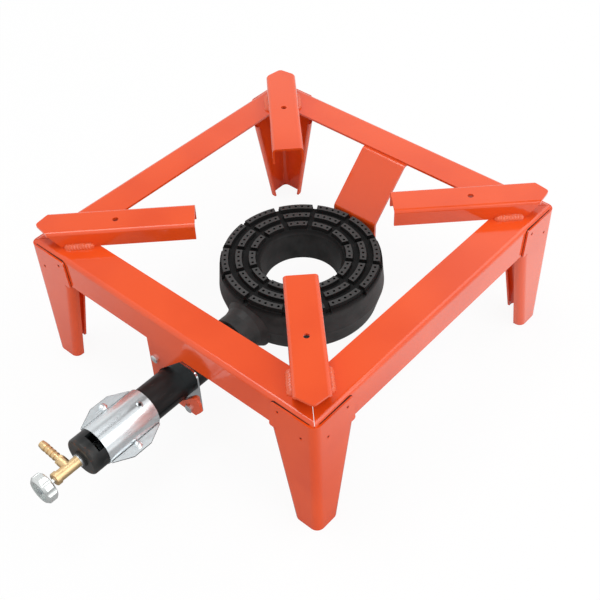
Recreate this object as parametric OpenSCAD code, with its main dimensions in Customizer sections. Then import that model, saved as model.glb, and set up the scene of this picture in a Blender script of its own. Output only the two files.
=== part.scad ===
// Low square gas burner stand with a cast ring burner, venturi, air shutter and tap.
// Millimetres, +Z up, feet on z = 0. Local drafting origin: the middle of the square frame on the
// ground; every part is then moved along Y so that the file's origin is under the middle of the whole.

/* [Frame] */
// Outer width of the square top frame
frame_w = 400; // [370:1:440]
// Height of the top of the rails above the ground
stand_h = 166; // [155:1:200]
// Width of a rail's top flange
rail_top_w = 40; // [34:0.5:46]
// Height of a rail's side flange
rail_side_h = 37; // [30:0.5:42]
// Thickness of the rails' sheet
rail_t = 2.5; // [2:0.1:3]
// Outside radius of the rails' bend
rail_r = 5; // [4:0.5:7]
// Slit between two mitred rail ends
mitre_gap = 0.4; // [0.2:0.1:0.8]
// Clearance of the side flanges' ends from the legs' corner folds
corner_clear = 0.1; // [0.1:0.1:2]

/* [Legs] */
// Thickness of the legs' sheet
leg_t = 2.5; // [2:0.1:3]
// How far a leg's top edge lies below the top of the rails
leg_drop = 3.5; // [2:0.5:6]
// Width of a leg's face at its top edge
leg_top_w = 55; // [50:0.5:62]
// Width of a leg's face at the rail's lower edge
leg_rail_w = 57.5; // [54:0.5:64]
// Width of a leg's face at the ground, measured over the lip
leg_foot_w = 33.2; // [28:0.1:37]
// Lean of a leg's free edge from the vertical, in degrees
leg_lean = 10.9; // [9:0.1:11.5]
// Outside radius of the fold along a leg's corner
leg_fold_r = 9; // [6:0.5:12]
// Outside radius of the bend into a lip
lip_r = 8; // [6:0.5:9]
// Depth of a lip from the leg's outer face
lip_depth = 11; // [10:0.5:16]
// Depth of the step in a leg's edge below the rail's lower edge
lip_gap = 1.5; // [1:0.5:4]
// Relief between that step and the top of a lip
lip_relief = 1; // [0.5:0.5:4]
// Radius of a spot weld's dimple
spot_r = 1.9; // [1.5:0.1:2.5]
// Depth of a spot weld's dimple
spot_depth = 0.4; // [0.2:0.1:0.8]
// Upper spot weld: distance from the leg's corner
spot_upper_x = 46; // [40:0.5:48]
// Upper spot weld: depth below the top of the rails
spot_upper_drop = 12; // [10:0.5:20]
// Lower spot weld: distance from the leg's corner
spot_lower_x = 18; // [14:0.5:22]
// Lower spot weld: depth below the top of the rails
spot_lower_drop = 28; // [22:0.5:34]

/* [Pot supports] */
// Width of a pot support channel
support_w = 36; // [32:0.5:40]
// Height of a pot support channel
support_h = 20; // [17:0.5:26]
// Thickness of the pot supports' sheet
support_t = 2.5; // [2:0.1:3]
// Outside radius of the channel's bends
support_r = 4; // [3.5:0.5:6]
// Overhang of a support's tip beyond the frame's corner, negative is inside it
support_tip_in = -8.2; // [-12:0.1:-6]
// Length of a support from its inner end to its tip
support_len = 168.5; // [150:0.5:180]
// Length of the pointed end
point_len = 13.6; // [10:0.1:16]
// Radius of the pointed end's tip
point_r = 5; // [3:0.5:6]
// Setback of the side walls' feet from the shoulders of the point
wall_setback = 12; // [8:0.5:16]
// Radius of the hole in a support
support_hole_r = 3.3; // [2.5:0.1:4]
// Distance of the hole from the support's tip
support_hole_at = 84; // [70:0.5:95]
// Width of a weld bead's leg
bead_r = 6; // [5:0.5:8]
// Length of a weld bead
bead_len = 33; // [28:0.5:40]
// Distance from the support's tip to the bead
bead_at = 27.6; // [24:0.1:30]

/* [Burner] */
// Distance of the burner's middle behind the frame's middle
burner_back = 8; // [0:0.5:10]
// Depth of the burner's underside below the top of the rails
burner_drop = 116; // [112:0.5:120]
// Height of the burner casting under the pads
burner_body_h = 58; // [54:0.5:62]
// Height of a raised pad
pad_h = 5; // [3:0.5:6]
// Largest radius of the burner
burner_r = 94.5; // [92:0.1:97]
// Height of that largest radius above the underside
widest_rise = 28; // [24:0.5:32]
// Inward taper of the casting's wall from there up to the top edge
top_taper = 2.9; // [2:0.1:4]
// Inward taper of the casting's wall from there down to the underside
foot_taper = 6.5; // [5:0.5:8]
// Radial width of the casting from the hole's narrowest place to the largest radius
ring_w = 51.5; // [49:0.5:54]
// Height of the hole's narrowest place above the underside
waist_rise = 20; // [17:0.5:22]
// Outward taper of the hole's wall from there up to its chamfer
hole_taper = 3; // [2:0.1:4]
// Width of the chamfer round the top of the hole
hole_chamfer = 2.8; // [2:0.1:4]
// Height of the chamfer round the top of the hole
hole_chamfer_h = 5; // [3:0.5:7]
// Radial width of the flat underside, measured from the wall
foot_w = 22.5; // [20:0.5:25]
// Thickness of the casting's walls
cast_wall = 6; // [5:0.5:7]
// Radial width of a pad's top
pad_w = 7.2; // [6:0.1:8.4]
// Slope of a pad's sides, as width gained on each side over its height
pad_draft = 0.9; // [0.4:0.1:1.4]
// Distance of the inner and outer rings of pads from the casting's edges
pad_inset = 6; // [5:0.1:7]
// Width of the gap between two pads of a ring
pad_gap = 6.2; // [4:0.1:7.5]
// Depth of the notches in the casting's rim below the pads
rim_notch = 5; // [2:0.5:7]
// Number of sectors
sectors = 12; // [10:1:14]
// Radius of a gas port
port_r = 1.5; // [0.8:0.1:1.8]
// Ports on a pad of the inner ring
ports_inner = 3; // [2:1:3]
// Ports on a pad of the middle ring
ports_middle = 4; // [3:1:4]
// Ports on a pad of the outer ring
ports_outer = 5; // [4:1:5]
// Outside radius of the neck that takes the venturi
neck_r = 23; // [22.5:0.1:24]
// Length of the neck in front of the casting's wall
neck_len = 24; // [21:0.5:27]
// Radius gained by the neck's flare at the casting's wall
flare_w = 8; // [6:0.5:10]
// Length of the neck's flare
flare_len = 16; // [14:0.5:18]

/* [Rear strap] */
// Width of the strap
strap_w = 61; // [54:1:66]
// Thickness of the strap
strap_t = 3; // [2.5:0.1:4]
// Inside radius of the strap's bends
strap_bend_r = 4; // [3:0.5:6]
// Length of the strap's flat end under the rear rail
strap_top_len = 35; // [30:0.5:38]
// Slope of the strap below the horizontal, in degrees
strap_slope = 45; // [40:1:46]
// Clearance between the strap and the burner's wall
strap_gap = 0.5; // [0.3:0.1:1]
// Length of the flat foot under the burner
strap_foot_len = 27; // [24:0.5:29]

/* [Venturi] */
// Height of the venturi's axis above the burner's underside
axis_rise = 23.2; // [22:0.1:25]
// Reach of the venturi's mouth in front of the front rail
venturi_reach = 122; // [118:1:130]
// Outside radius of the venturi's tube
tube_r = 19.6; // [19:0.1:20]
// Inside radius of the venturi's tube
tube_bore_r = 15; // [14:0.1:15.5]
// Radius of the venturi's throat
throat_r = 10.5; // [9:0.1:12]
// Length of the part inserted in the burner's neck
insert_len = 20; // [16:0.5:22]
// Radial clearance of the tube in the neck and in the keeper plate
tube_clear = 0.1; // [0.05:0.05:0.2]
// Outside radius of the mouth
mouth_r = 21.1; // [20.9:0.1:22]
// Inside radius of the mouth
mouth_bore_r = 17.5; // [16.5:0.1:18]
// Length of the mouth
mouth_len = 82; // [78:0.5:86]
// Rounding of the mouth's front edge
mouth_edge = 3; // [2:0.5:4]
// Thickness of the mouth's front wall
mouth_wall = 6; // [5:0.5:8]
// Radius of the round boss on the mouth's front face
front_boss_r = 9; // [8:0.5:11]
// Height of that boss
front_boss_h = 2.5; // [1.5:0.5:4]
// Distance of an air window from the mouth's front face
window_at = 11.5; // [9:0.5:14]
// Length of an air window
window_len = 44; // [38:0.5:48]
// Opening angle of an air window, in degrees
window_angle = 61; // [50:1:70]
// Direction of the first air window round the axis, from the right, in degrees
window_turn = 68; // [60:1:80]
// Height of the casting seam on the tube
seam_h = 0.8; // [0.4:0.1:1.2]
// Width of the casting seam
seam_w = 2; // [1.2:0.1:3]

/* [Venturi bracket] */
// Thickness of the slotted tab
tab_t = 3; // [2.5:0.1:4]
// Reach of the tab to the left of the axis
tab_left = 30; // [29:0.5:33]
// Reach of the tab to the right of the axis
tab_right = 39.5; // [38:0.5:41]
// Reach of the tab below the axis
tab_below = 27; // [26.5:0.5:30]
// Radius of the tab's lower left corner
tab_corner_r = 9; // [6:0.5:10]
// Width of the chamfer at the tab's lower right corner
tab_chamfer_w = 9; // [6:0.5:10]
// Height of the chamfer at the tab's lower right corner
tab_chamfer_h = 11; // [8:0.5:12]
// Clearance of the tube in the tab's slot
slot_clear = 1.2; // [0.8:0.1:1.6]
// Direction of the slot above the horizontal, in degrees
slot_angle = 45; // [42:1:48]
// Rounding of the lug beside the slot
lug_r = 7; // [5:0.5:8]
// Thickness of the keeper plate
keeper_t = 2; // [1.5:0.1:3]
// Reach of the keeper plate above the axis
keeper_above = 41.3; // [38:0.1:43]
// Distance of the keeper plate's right edge inside the tab's
keeper_inset = 1.5; // [0.5:0.5:2.5]
// Radius of the keeper plate's corners
keeper_corner_r = 10; // [6:0.5:11]
// Sideways distance of a keeper bolt from the axis
bolt_x = 21.8; // [21:0.1:22.5]
// Height of the left keeper bolt above the axis
bolt_up = 25.1; // [24:0.1:26]
// Depth of the right keeper bolt below the axis
bolt_down = 21.9; // [21.5:0.1:22.5]
// Radius of a keeper bolt's shank
bolt_r = 3; // [2.5:0.1:3]
// Radius of a keeper bolt's head
bolt_head_r = 4.9; // [4.5:0.1:5.2]
// Height of a keeper bolt's head
bolt_head_h = 3.4; // [2.8:0.1:4]
// Length of thread that shows behind a nut
bolt_tail = 3; // [1:0.5:6]
// Width across the flats of the keeper bolts' nuts
nut_af = 10; // [9.5:0.1:11]
// Thickness of the keeper bolts' nuts
nut_h = 5; // [4:0.1:6]

/* [Air shutter] */
// Sheet thickness of the shutter shells
shell_t = 0.8; // [0.6:0.1:1.2]
// Radial clearance between the shells and the mouth
shell_clear = 0.05; // [0.03:0.01:0.09]
// Length of the shells
shell_len = 66; // [62:0.5:68]
// Distance of the shells from the mouth's front face at rest
shell_at = 19; // [18:0.5:20]
// Reach of a wing beyond the shell
wing_reach = 11; // [9.5:0.5:14]
// Reach of a wing at the shell's ends
wing_end_reach = 1.4; // [0.5:0.1:3]
// Length of a wing's straight outer edge
wing_flat = 22.4; // [16:0.1:30]
// Distance of a wing's ends from the shell's ends
wing_inset = 0.6; // [0.4:0.1:2]
// Tilt of the wings below the horizontal on the right, in degrees
wing_tilt = 23; // [15:1:30]
// Distance of a shutter bolt from the axis
wing_bolt_at = 26.4; // [26.2:0.1:27.5]
// Radius of a shutter bolt's shank
wing_bolt_r = 2; // [1.5:0.1:2]
// Radius of a shutter bolt's head
wing_head_r = 4.1; // [3.5:0.1:4.2]
// Height of a shutter bolt's head
wing_head_h = 2.6; // [2:0.1:3.2]
// Width across the flats of the shutter nuts
wing_nut_af = 7; // [6.4:0.1:8]
// Thickness of the shutter nuts
wing_nut_h = 3.2; // [2.4:0.1:4]
// Radius of the round nib on the upper shell
nib_r = 3; // [2.5:0.1:4]
// Height of the nib
nib_h = 0.5; // [0.3:0.1:0.8]
// Radius of the hole in the nib
nib_hole_r = 1.8; // [1:0.1:2]
// Distance of the nib from the shell's rear edge
nib_at = 11; // [8:0.5:14]

/* [Tap] */
// Radius of the tap body
tap_r = 5.9; // [5.5:0.1:6.5]
// Length of the tap body
tap_len = 24.5; // [23:0.5:27]
// Radius of the tap's stem in the mouth's front wall
stem_r = 4.9; // [4.4:0.1:5.1]
// Thickness of the washer behind the tap
washer_t = 1.5; // [1:0.1:2]
// Radius of the washer behind the tap
washer_r = 7; // [6.6:0.1:8]
// Distance of the hose tail's axis from the washer
tail_at = 11; // [9.5:0.5:12]
// Direction of the hose tail round the axis, from the right, in degrees
tail_turn = 175; // [160:1:180]
// Radius of the tap's side boss
boss_r = 5.6; // [5:0.1:6]
// Reach of the side boss from the axis
boss_reach = 12; // [11:0.5:13]
// Width across the flats of the hose tail's hexagon
tail_af = 10; // [9.5:0.1:11]
// Height of the hose tail's hexagon
tail_hex_h = 3; // [2:0.5:4]
// Reach of the hose tail's tip from the axis
tail_reach = 42; // [40:0.5:46]
// Radius of the hose tail between the barbs
tail_r = 3.9; // [3.5:0.1:4]
// Radius of the barbs
barb_r = 4.5; // [4.2:0.1:4.8]
// Distance from one barb to the next
barb_pitch = 5; // [4:0.1:5.2]
// Number of barbs behind the end barb
barbs = 3; // [1:1:3]
// Length of a barb's cylindrical land
barb_land = 1.2; // [0.8:0.1:2]
// Length of the end barb
barb_end = 8; // [6:0.5:9]
// Length of the end barb's cylindrical land
end_land = 3; // [2:0.1:4]
// Radius of the hose tail's bore
tail_bore_r = 2.2; // [1.8:0.1:2.6]
// Radius of the gland nut
gland_r = 7; // [6.5:0.1:7.5]
// Length of the gland nut
gland_len = 5.5; // [5:0.5:8]
// Radius of the spindle
spindle_r = 2.5; // [2.2:0.1:2.8]
// Radial running clearance of the spindle
spindle_clear = 0.05; // [0.02:0.01:0.09]
// Radius of the knob
knob_r = 15.5; // [14:0.1:17]
// Thickness of the knob's rim
knob_rim = 12; // [10:0.5:14]
// Length of the knob's hub behind the rim
knob_hub = 2.5; // [2:0.5:4]
// Clearance between the gland nut and the knob's hub
knob_gap = 3.5; // [0.5:0.1:5]
// Number of flutes in the knob's rim
knob_flutes = 8; // [6:1:10]
// Depth of a flute
flute_depth = 1.4; // [1:0.1:2]
// Width of the knob's rim round its dished front
dish_rim = 5; // [4:0.1:6]
// Depth of the knob's dish
knob_dish = 3.4; // [2.4:0.1:4]
// Length of the jet
jet_len = 12; // [9:0.5:13]

/* [Hidden] */
$fn = 72;

// Colours of the finishes
paint_colour = [0.90, 0.27, 0.10];
iron_colour = [0.09, 0.09, 0.09];
zinc_colour = [0.80, 0.82, 0.84];
brass_colour = [0.80, 0.62, 0.28];
chrome_colour = [0.86, 0.87, 0.88];

// A small length by which cutting shapes run past what they cut
over = 1;
// Turn that keeps a round piece's starting line away from the edges that it crosses
seam_turn = 70;
// Steps in the arc of a sheet's bend
arc_steps = 10;
// Play of a bolt's shank in its hole
hole_play = 0.05;

// Frame and legs
half = frame_w / 2;
leg_face = half + leg_t;
rail_foot = stand_h - rail_side_h;
leg_h = stand_h - leg_drop;
step_z = rail_foot - lip_gap;
lip_top = step_z - lip_relief;
leg_corner_r = 4;
edge_lap = 0.5;
corner_relief = leg_fold_r - leg_t + corner_clear;

// Pot supports, measured along the diagonal from the frame's middle
corner_diag = half * sqrt(2);
tip_at = corner_diag + support_tip_in;
shoulder_at = tip_at - point_len;
inner_at = tip_at - support_len;
foot_at = shoulder_at - wall_setback;

// Burner
burner_floor = stand_h - burner_drop;
burner_top = burner_floor + burner_body_h;
burner_top_r = burner_r - top_taper;
burner_foot_r = burner_r - foot_taper;
widest_h = burner_floor + widest_rise;
rim_drop = 4;
rim_out = 0.6;
foot_edge = 4;
rim_wall = 3.6;
hole_r = burner_r - ring_w;
hole_foot_r = burner_foot_r - foot_w;
hole_edge_r = hole_r + hole_taper;
hole_top_r = hole_edge_r + hole_chamfer;
waist_h = burner_floor + waist_rise;
hole_slope = waist_rise / (hole_foot_r - hole_r);
slope_wall = cast_wall * sqrt(1 + hole_slope * hole_slope);
pad_inner_r = hole_top_r + pad_inset;
pad_outer_r = burner_top_r - pad_inset;
pad_middle_r = (pad_inner_r + pad_outer_r) / 2;
sector_turn = 360 / sectors;
port_step_inner = 0.267 * sector_turn;
port_step_middle = 0.203 * sector_turn;
port_step_outer = 0.167 * sector_turn;
port_sides = 16;
strap_bolt_at = (burner_foot_r + hole_foot_r) / 2;
strap_bolt_r = bolt_r;
boss_r_in = 8;
boss_high = 9;
neck_end = burner_r + neck_len;
neck_root = burner_r - burner_back - cast_wall;
flare_bend = flare_w / 4;
passage_r = tube_bore_r;
passage_back = neck_root - foot_taper - cast_wall;

// Rear strap, its centre line in the YZ plane
strap_rc = strap_bend_r + strap_t / 2;
strap_start = half - rail_t - (rail_r - rail_t);
strap_wall = burner_back + burner_r + strap_gap + strap_t / 2;
strap_run = strap_start - strap_wall;
strap_corner = strap_top_len + strap_rc * tan(strap_slope / 2);
strap_top_z = stand_h - rail_t - strap_t / 2;
strap_foot_z = burner_floor - strap_t / 2;
strap_drop = strap_top_z - strap_foot_z;
strap_head_h = 4;
strap_washer_t = 1.6;
strap_washer_r = 7;

// Venturi, measured forwards from the frame's middle
axis_h = burner_floor + axis_rise;
mouth_face = half + venturi_reach;
mouth_back = mouth_face - mouth_len;
mouth_cone = 4;
insert_front = neck_end - burner_back;
insert_back = insert_front - insert_len;
throat_len = 2;
throat_at = mouth_back + throat_len;
socket_r = tube_r + tube_clear;

// Bracket, measured forwards from the frame's middle
tab_face = half - rail_t;
keeper_face = tab_face - tab_t;
nut_face = keeper_face - keeper_t;
slot_r = tube_r + slot_clear;
tab_top = stand_h - rail_r - axis_h;
keeper_right = tab_right - keeper_inset;
keeper_chamfer_h = tab_chamfer_h * (tab_chamfer_w - keeper_inset) / tab_chamfer_w;
bolt_hole_r = bolt_r + hole_play;

// Air shutter
shell_r = mouth_r + shell_clear;
shell_out = shell_r + shell_t;
shell_front = mouth_face - shell_at;
shell_back = shell_front - shell_len;
wing_hole_r = wing_bolt_r + hole_play;

// Tap, measured forwards from the frame's middle
boss_face = mouth_face + front_boss_h;
washer_face = boss_face + washer_t;
tap_end = washer_face + tap_len;
gland_end = tap_end + gland_len;
hub_start = gland_end + knob_gap;
rim_start = hub_start + knob_hub;
knob_end = rim_start + knob_rim;
knob_floor = knob_end - knob_dish;
tail_y = washer_face + tail_at;
stem_proud = 1;
stem_end = mouth_face - mouth_wall - stem_proud;
stem_hole_r = stem_r + hole_play;
spindle_bore_r = spindle_r + spindle_clear;
chamber_wide = 0.9;
chamber_r = spindle_r + chamber_wide;
chamber_back = tail_y - boss_r;
chamber_front = tail_y + tail_af / 2;
seat_r = 1.2;
needle_tip_r = 1;
needle_len = 4;
needle_gap = 0.3;
gland_spigot_r = 4.3;
gland_spigot = 4;
gland_edge = 1;
jet_r = 3.7;
jet_base = 4;
jet_cone = 4.8;
jet_hole_r = 0.4;
screw_r = 1.5;
screw_head_r = 3.4;
screw_head_h = 1.6;
screw_depth = 7;
screw_gap = 0.2;
slot_w = 1;
knob_seat = knob_end - screw_head_h - screw_gap;
knob_boss_r = 5.2;
knob_back_edge = 2;
knob_front_edge = 2.5;
flute_r = 6;
hub_r = 5.4;
hub_bore_r = spindle_bore_r - spindle_clear / 2;
front_reach = knob_end;
rear_reach = leg_face;

// Moves a part from the drafting origin to the file's origin
module placed() {
    translate([0, (front_reach - rear_reach) / 2, 0]) children();
}

// Turns a shape whose axis is Z so that Z points forwards along the venturi's axis
module on_axis() {
    translate([0, 0, axis_h]) rotate([90, 0, 0]) children();
}

// A drafting shape in the plane of the tab: X to the right, Y up, from the venturi's axis
module in_tab_plane(front, thick) {
    on_axis() translate([0, 0, front - thick]) linear_extrude(thick) children();
}

// Quarter of a ring between two radii, in the first quadrant
module quarter_ring(outer, inner) {
    intersection() {
        difference() {
            circle(outer);
            circle(inner);
        }
        square(outer);
    }
}

// Points of an arc round a centre, from one direction to another
function arc(centre, r, from, to) = [for (i = [0:arc_steps])
    let (a = from + (to - from) * i / arc_steps) [centre[0] + r * cos(a), centre[1] + r * sin(a)]];

// The direction from one point to the next, and the direction to its left
function heading(path, i) = (path[i + 1] - path[i]) / norm(path[i + 1] - path[i]);
function to_left(v) = [-v[1], v[0]];

// Points of one side of a bent strip, at an offset to the left of its centre line
function side_points(path, r, off) = [
    path[0] + off * to_left(heading(path, 0)),
    for (i = [1:len(path) - 2])
        let (u = heading(path, i - 1), v = heading(path, i),
             turn = atan2(u[0] * v[1] - u[1] * v[0], u * v), side = sign(turn),
             centre = path[i] - r * tan(abs(turn) / 2) * u + side * r * to_left(u),
             start = atan2(to_left(u)[1], to_left(u)[0]))
            each arc(centre, off - side * r, start, start + turn),
    path[len(path) - 1] + off * to_left(heading(path, len(path) - 2))];

// A strip of even thickness along a centre line with round bends
module bent_strip(path, r, thick) {
    back = side_points(path, r, -thick / 2);
    polygon([each side_points(path, r, thick / 2),
             for (i = [len(back) - 1:-1:0]) back[i]]);
}

// Hexagonal prism across two flats
module hex_prism(across, high) {
    cylinder(r = across / 2 / cos(30), h = high, $fn = 6);
}

// Rails

// Section of a rail: X inwards from the outer face, Y down from the top
module angle_section() {
    translate([rail_r, -rail_t]) square([rail_top_w - rail_r, rail_t]);
    translate([0, -rail_side_h]) square([rail_t, rail_side_h - rail_r]);
    translate([rail_r, -rail_r]) mirror([1, 0]) quarter_ring(rail_r, rail_r - rail_t);
}

// The front rail; the others are turned copies
module rail() {
    difference() {
        intersection() {
            translate([-half, -half, stand_h]) rotate([90, 0, 90])
                linear_extrude(frame_w) angle_section();
            translate([0, 0, rail_foot - over]) linear_extrude(rail_side_h + 2 * over)
                polygon([[-half + mitre_gap, -half], [half - mitre_gap, -half],
                         [half - rail_top_w - over - mitre_gap, -half + rail_top_w + over],
                         [-half + rail_top_w + over + mitre_gap, -half + rail_top_w + over]]);
        }
        for (side = [-1, 1])
            translate([side * half - corner_relief, -half - over, rail_foot - over])
                cube([2 * corner_relief, rail_r + over, leg_h - rail_foot + over]);
    }
}

module rail_front() { color(paint_colour) placed() rail(); }
module rail_right() { color(paint_colour) placed() rotate(90) rail(); }
module rail_rear() { color(paint_colour) placed() rotate(180) rail(); }
module rail_left() { color(paint_colour) placed() rotate(270) rail(); }

// Legs

// Section of the corner fold with both faces, from the outer corner
module fold_section() {
    translate([leg_fold_r, 0]) square([leg_rail_w, leg_t]);
    translate([0, leg_fold_r]) square([leg_t, leg_rail_w]);
    translate([leg_fold_r, leg_fold_r]) rotate(180) quarter_ring(leg_fold_r, leg_fold_r - leg_t);
}

// Outline of one face: X away from the corner, Y up
module face_outline() {
    edge = (lip_r + edge_lap) / cos(leg_lean);
    polygon([[-over, 0],
             [leg_foot_w - edge, 0],
             [leg_foot_w + step_z * tan(leg_lean) - edge, step_z],
             [leg_rail_w - lip_gap, step_z],
             [leg_rail_w, rail_foot],
             each arc([leg_top_w - leg_corner_r, leg_h - leg_corner_r], leg_corner_r, 0, 90),
             [-over, leg_h]]);
}

// Section of the bend and the lip, square to the leaning edge, with a strip that lies in the face
module lip_section() {
    polygon([[-lip_r - over, 0],
             each arc([-lip_r, lip_r], lip_r, -90, 0),
             [0, lip_depth], [-leg_t, lip_depth],
             each arc([-lip_r, lip_r], lip_r - leg_t, 0, -90),
             [-lip_r - over, leg_t]]);
}

// Bend and lip along the free edge of the face that looks forwards
module lip() {
    intersection() {
        translate([leg_foot_w, 0, 0]) rotate([0, leg_lean, 0])
            translate([0, 0, -leg_foot_w]) linear_extrude(stand_h + leg_foot_w) lip_section();
        cube([frame_w, frame_w, lip_top]);
    }
}

// Dimples of the two spot welds in the face that looks forwards
module spot_welds() {
    for (p = [[spot_upper_x, spot_upper_drop], [spot_lower_x, spot_lower_drop]])
        translate([p[0], -over, stand_h - p[1]]) rotate([-90, 0, 0])
            cylinder(r = spot_r, h = spot_depth + over);
}

// The front left leg, drafted from its own outer corner
module leg() {
    translate([-leg_face, -leg_face, 0]) difference() {
        union() {
            intersection() {
                linear_extrude(leg_h) fold_section();
                translate([0, frame_w, 0]) rotate([90, 0, 0])
                    linear_extrude(frame_w + over) face_outline();
                mirror([1, -1, 0]) translate([0, frame_w, 0]) rotate([90, 0, 0])
                    linear_extrude(frame_w + over) face_outline();
            }
            lip();
            mirror([1, -1, 0]) lip();
        }
        spot_welds();
        mirror([1, -1, 0]) spot_welds();
    }
}

module leg_front_left() { color(paint_colour) placed() leg(); }
module leg_front_right() { color(paint_colour) placed() rotate(90) leg(); }
module leg_rear_right() { color(paint_colour) placed() rotate(180) leg(); }
module leg_rear_left() { color(paint_colour) placed() rotate(270) leg(); }

// Pot supports

// Section of the channel: X across, Y up from the rails
module channel_section() {
    flat = support_w / 2 - support_r;
    translate([-flat, support_h - support_t]) square([2 * flat, support_t]);
    for (side = [0, 1]) mirror([side, 0]) {
        translate([support_w / 2 - support_t, 0]) square([support_t, support_h - support_r]);
        translate([flat, support_h - support_r]) quarter_ring(support_r, support_r - support_t);
    }
}

// Plan of a support: pointed outer end with a round tip
module support_plan() {
    lean = atan(support_w / 2 / point_len);
    // The straight edges would meet a little beyond the round tip
    sharp = tip_at + point_r * (1 / sin(lean) - 1);
    centre = tip_at - point_r;
    touch = centre + point_r * sin(lean);
    wide = (sharp - shoulder_at) * tan(lean);
    polygon([[inner_at - over, -wide], [shoulder_at, -wide],
             [touch, -point_r * cos(lean)], [touch, point_r * cos(lean)],
             [shoulder_at, wide], [inner_at - over, wide]]);
    translate([centre, 0]) circle(point_r);
}

// Side view of a support: the walls' outer ends lean out to the shoulders
module support_side() {
    polygon([[inner_at - over, -over], [foot_at, -over], [foot_at, 0],
             [shoulder_at, support_h - support_r], [tip_at + over, support_h - support_r],
             [tip_at + over, support_h + over], [inner_at - over, support_h + over]]);
}

// One support, drafted along +X from the frame's middle
module support() {
    translate([0, 0, stand_h]) difference() {
        intersection() {
            translate([inner_at, 0, 0]) rotate([90, 0, 90])
                linear_extrude(support_len + over) channel_section();
            translate([0, 0, -over]) linear_extrude(support_h + 2 * over) support_plan();
            translate([0, support_w, 0]) rotate([90, 0, 0])
                linear_extrude(2 * support_w) support_side();
        }
        translate([tip_at - support_hole_at, 0, 0])
            cylinder(r = support_hole_r, h = support_h + over);
    }
}

module support_front_right() { color(paint_colour) placed() rotate(-45) support(); }
module support_rear_right() { color(paint_colour) placed() rotate(45) support(); }
module support_rear_left() { color(paint_colour) placed() rotate(135) support(); }
module support_front_left() { color(paint_colour) placed() rotate(225) support(); }

// A fillet bead with round ends along +X, in the corner between a wall and a floor
module bead() {
    translate([bead_r, 0, 0]) rotate([90, 0, 90])
        linear_extrude(bead_len - 2 * bead_r) quarter_ring(bead_r, 0);
    for (x = [bead_r, bead_len - bead_r]) translate([x, 0, 0]) intersection() {
        sphere(bead_r);
        translate([-bead_r, 0, 0]) cube([2 * bead_r, bead_r, bead_r]);
    }
}

module weld_beads() {
    color(paint_colour) placed()
        for (turn = [45:90:315], side = [0, 1]) rotate(turn) mirror([0, side, 0])
            translate([tip_at - bead_at - bead_len, support_w / 2, stand_h]) bead();
}

// Rear strap

// Side view of the strap: X forwards, Y up, from its rear end on the upper centre line
module strap_side() {
    bent_strip([[0, 0], [strap_corner, 0],
                [strap_run, -(strap_run - strap_corner) * tan(strap_slope)],
                [strap_run, -strap_drop],
                [strap_run + strap_rc + strap_foot_len, -strap_drop]], strap_rc, strap_t);
}

// Places the strap's bolt line at the middle of the burner's underside
module at_strap_bolt() {
    translate([0, burner_back + strap_bolt_at, 0]) children();
}

module rear_strap() {
    color(paint_colour) placed() difference() {
        translate([-strap_w / 2, strap_start, strap_top_z]) rotate([90, 0, 90])
            linear_extrude(strap_w) mirror([1, 0]) strap_side();
        at_strap_bolt() translate([0, 0, strap_foot_z - strap_t])
            cylinder(r = bolt_hole_r, h = 2 * strap_t);
    }
}

module strap_washer() {
    color(zinc_colour) placed() at_strap_bolt()
        translate([0, 0, burner_floor - strap_t - strap_washer_t]) difference() {
            cylinder(r = strap_washer_r, h = strap_washer_t);
            translate([0, 0, -over]) cylinder(r = bolt_hole_r, h = strap_washer_t + 2 * over);
        }
}

module strap_bolt() {
    color(zinc_colour) placed() at_strap_bolt()
        translate([0, 0, burner_floor - strap_t - strap_washer_t]) {
            translate([0, 0, -strap_head_h]) hex_prism(nut_af, strap_head_h);
            cylinder(r = strap_bolt_r, h = strap_washer_t + strap_t + boss_high);
        }
}

// Burner

// Half section of the casting's outside, radius against height
module burner_outside() {
    polygon([[hole_foot_r, burner_floor], [burner_foot_r - foot_edge, burner_floor],
             [burner_foot_r, burner_floor + foot_edge], [burner_r, widest_h],
             [burner_top_r + rim_out, burner_top - rim_drop], [burner_top_r, burner_top],
             [hole_top_r, burner_top], [hole_edge_r, burner_top - hole_chamfer_h],
             [hole_r, waist_h]]);
}

// Half section of the gas chamber; its inner floor follows the underside's slope
module burner_chamber() {
    polygon([[hole_r + (waist_rise + slope_wall - cast_wall) / hole_slope, burner_floor + cast_wall],
             [burner_foot_r - cast_wall, burner_floor + cast_wall],
             [burner_r - cast_wall, widest_h],
             [burner_top_r - rim_wall, burner_top - cast_wall],
             [hole_top_r + rim_wall, burner_top - cast_wall],
             [hole_r + cast_wall, waist_h + slope_wall - cast_wall * hole_slope]]);
}

// One ring of pads with sloping sides, cut into the sectors
module pad_ring(middle) {
    base = pad_w / 2 + pad_draft;
    difference() {
        translate([0, 0, burner_top]) rotate_extrude()
            polygon([[middle - base, -over], [middle + base, -over], [middle + base, 0],
                     [middle + pad_w / 2, pad_h], [middle - pad_w / 2, pad_h], [middle - base, 0]]);
        for (k = [0:sectors - 1]) rotate(k * sector_turn)
            translate([0, -pad_gap / 2, burner_top])
                cube([burner_r + over, pad_gap, pad_h + over]);
    }
}

// Ports of one ring
module ports(middle, count, step) {
    for (k = [0:sectors - 1], i = [0:count - 1])
        rotate((k + 1 / 2) * sector_turn + (i - (count - 1) / 2) * step)
            translate([middle, 0, burner_top - cast_wall - over])
                cylinder(r = port_r, h = cast_wall + pad_h + 2 * over, $fn = port_sides);
}

// Slots in the casting's rim outside the chamber, in line with the gaps between the pads
module rim_notches() {
    for (k = [0:sectors - 1]) rotate(k * sector_turn)
        translate([burner_top_r - rim_wall, -pad_gap / 2, burner_top - rim_notch])
            cube([rim_wall + 2 * rim_drop, pad_gap, rim_notch + over]);
}

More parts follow.
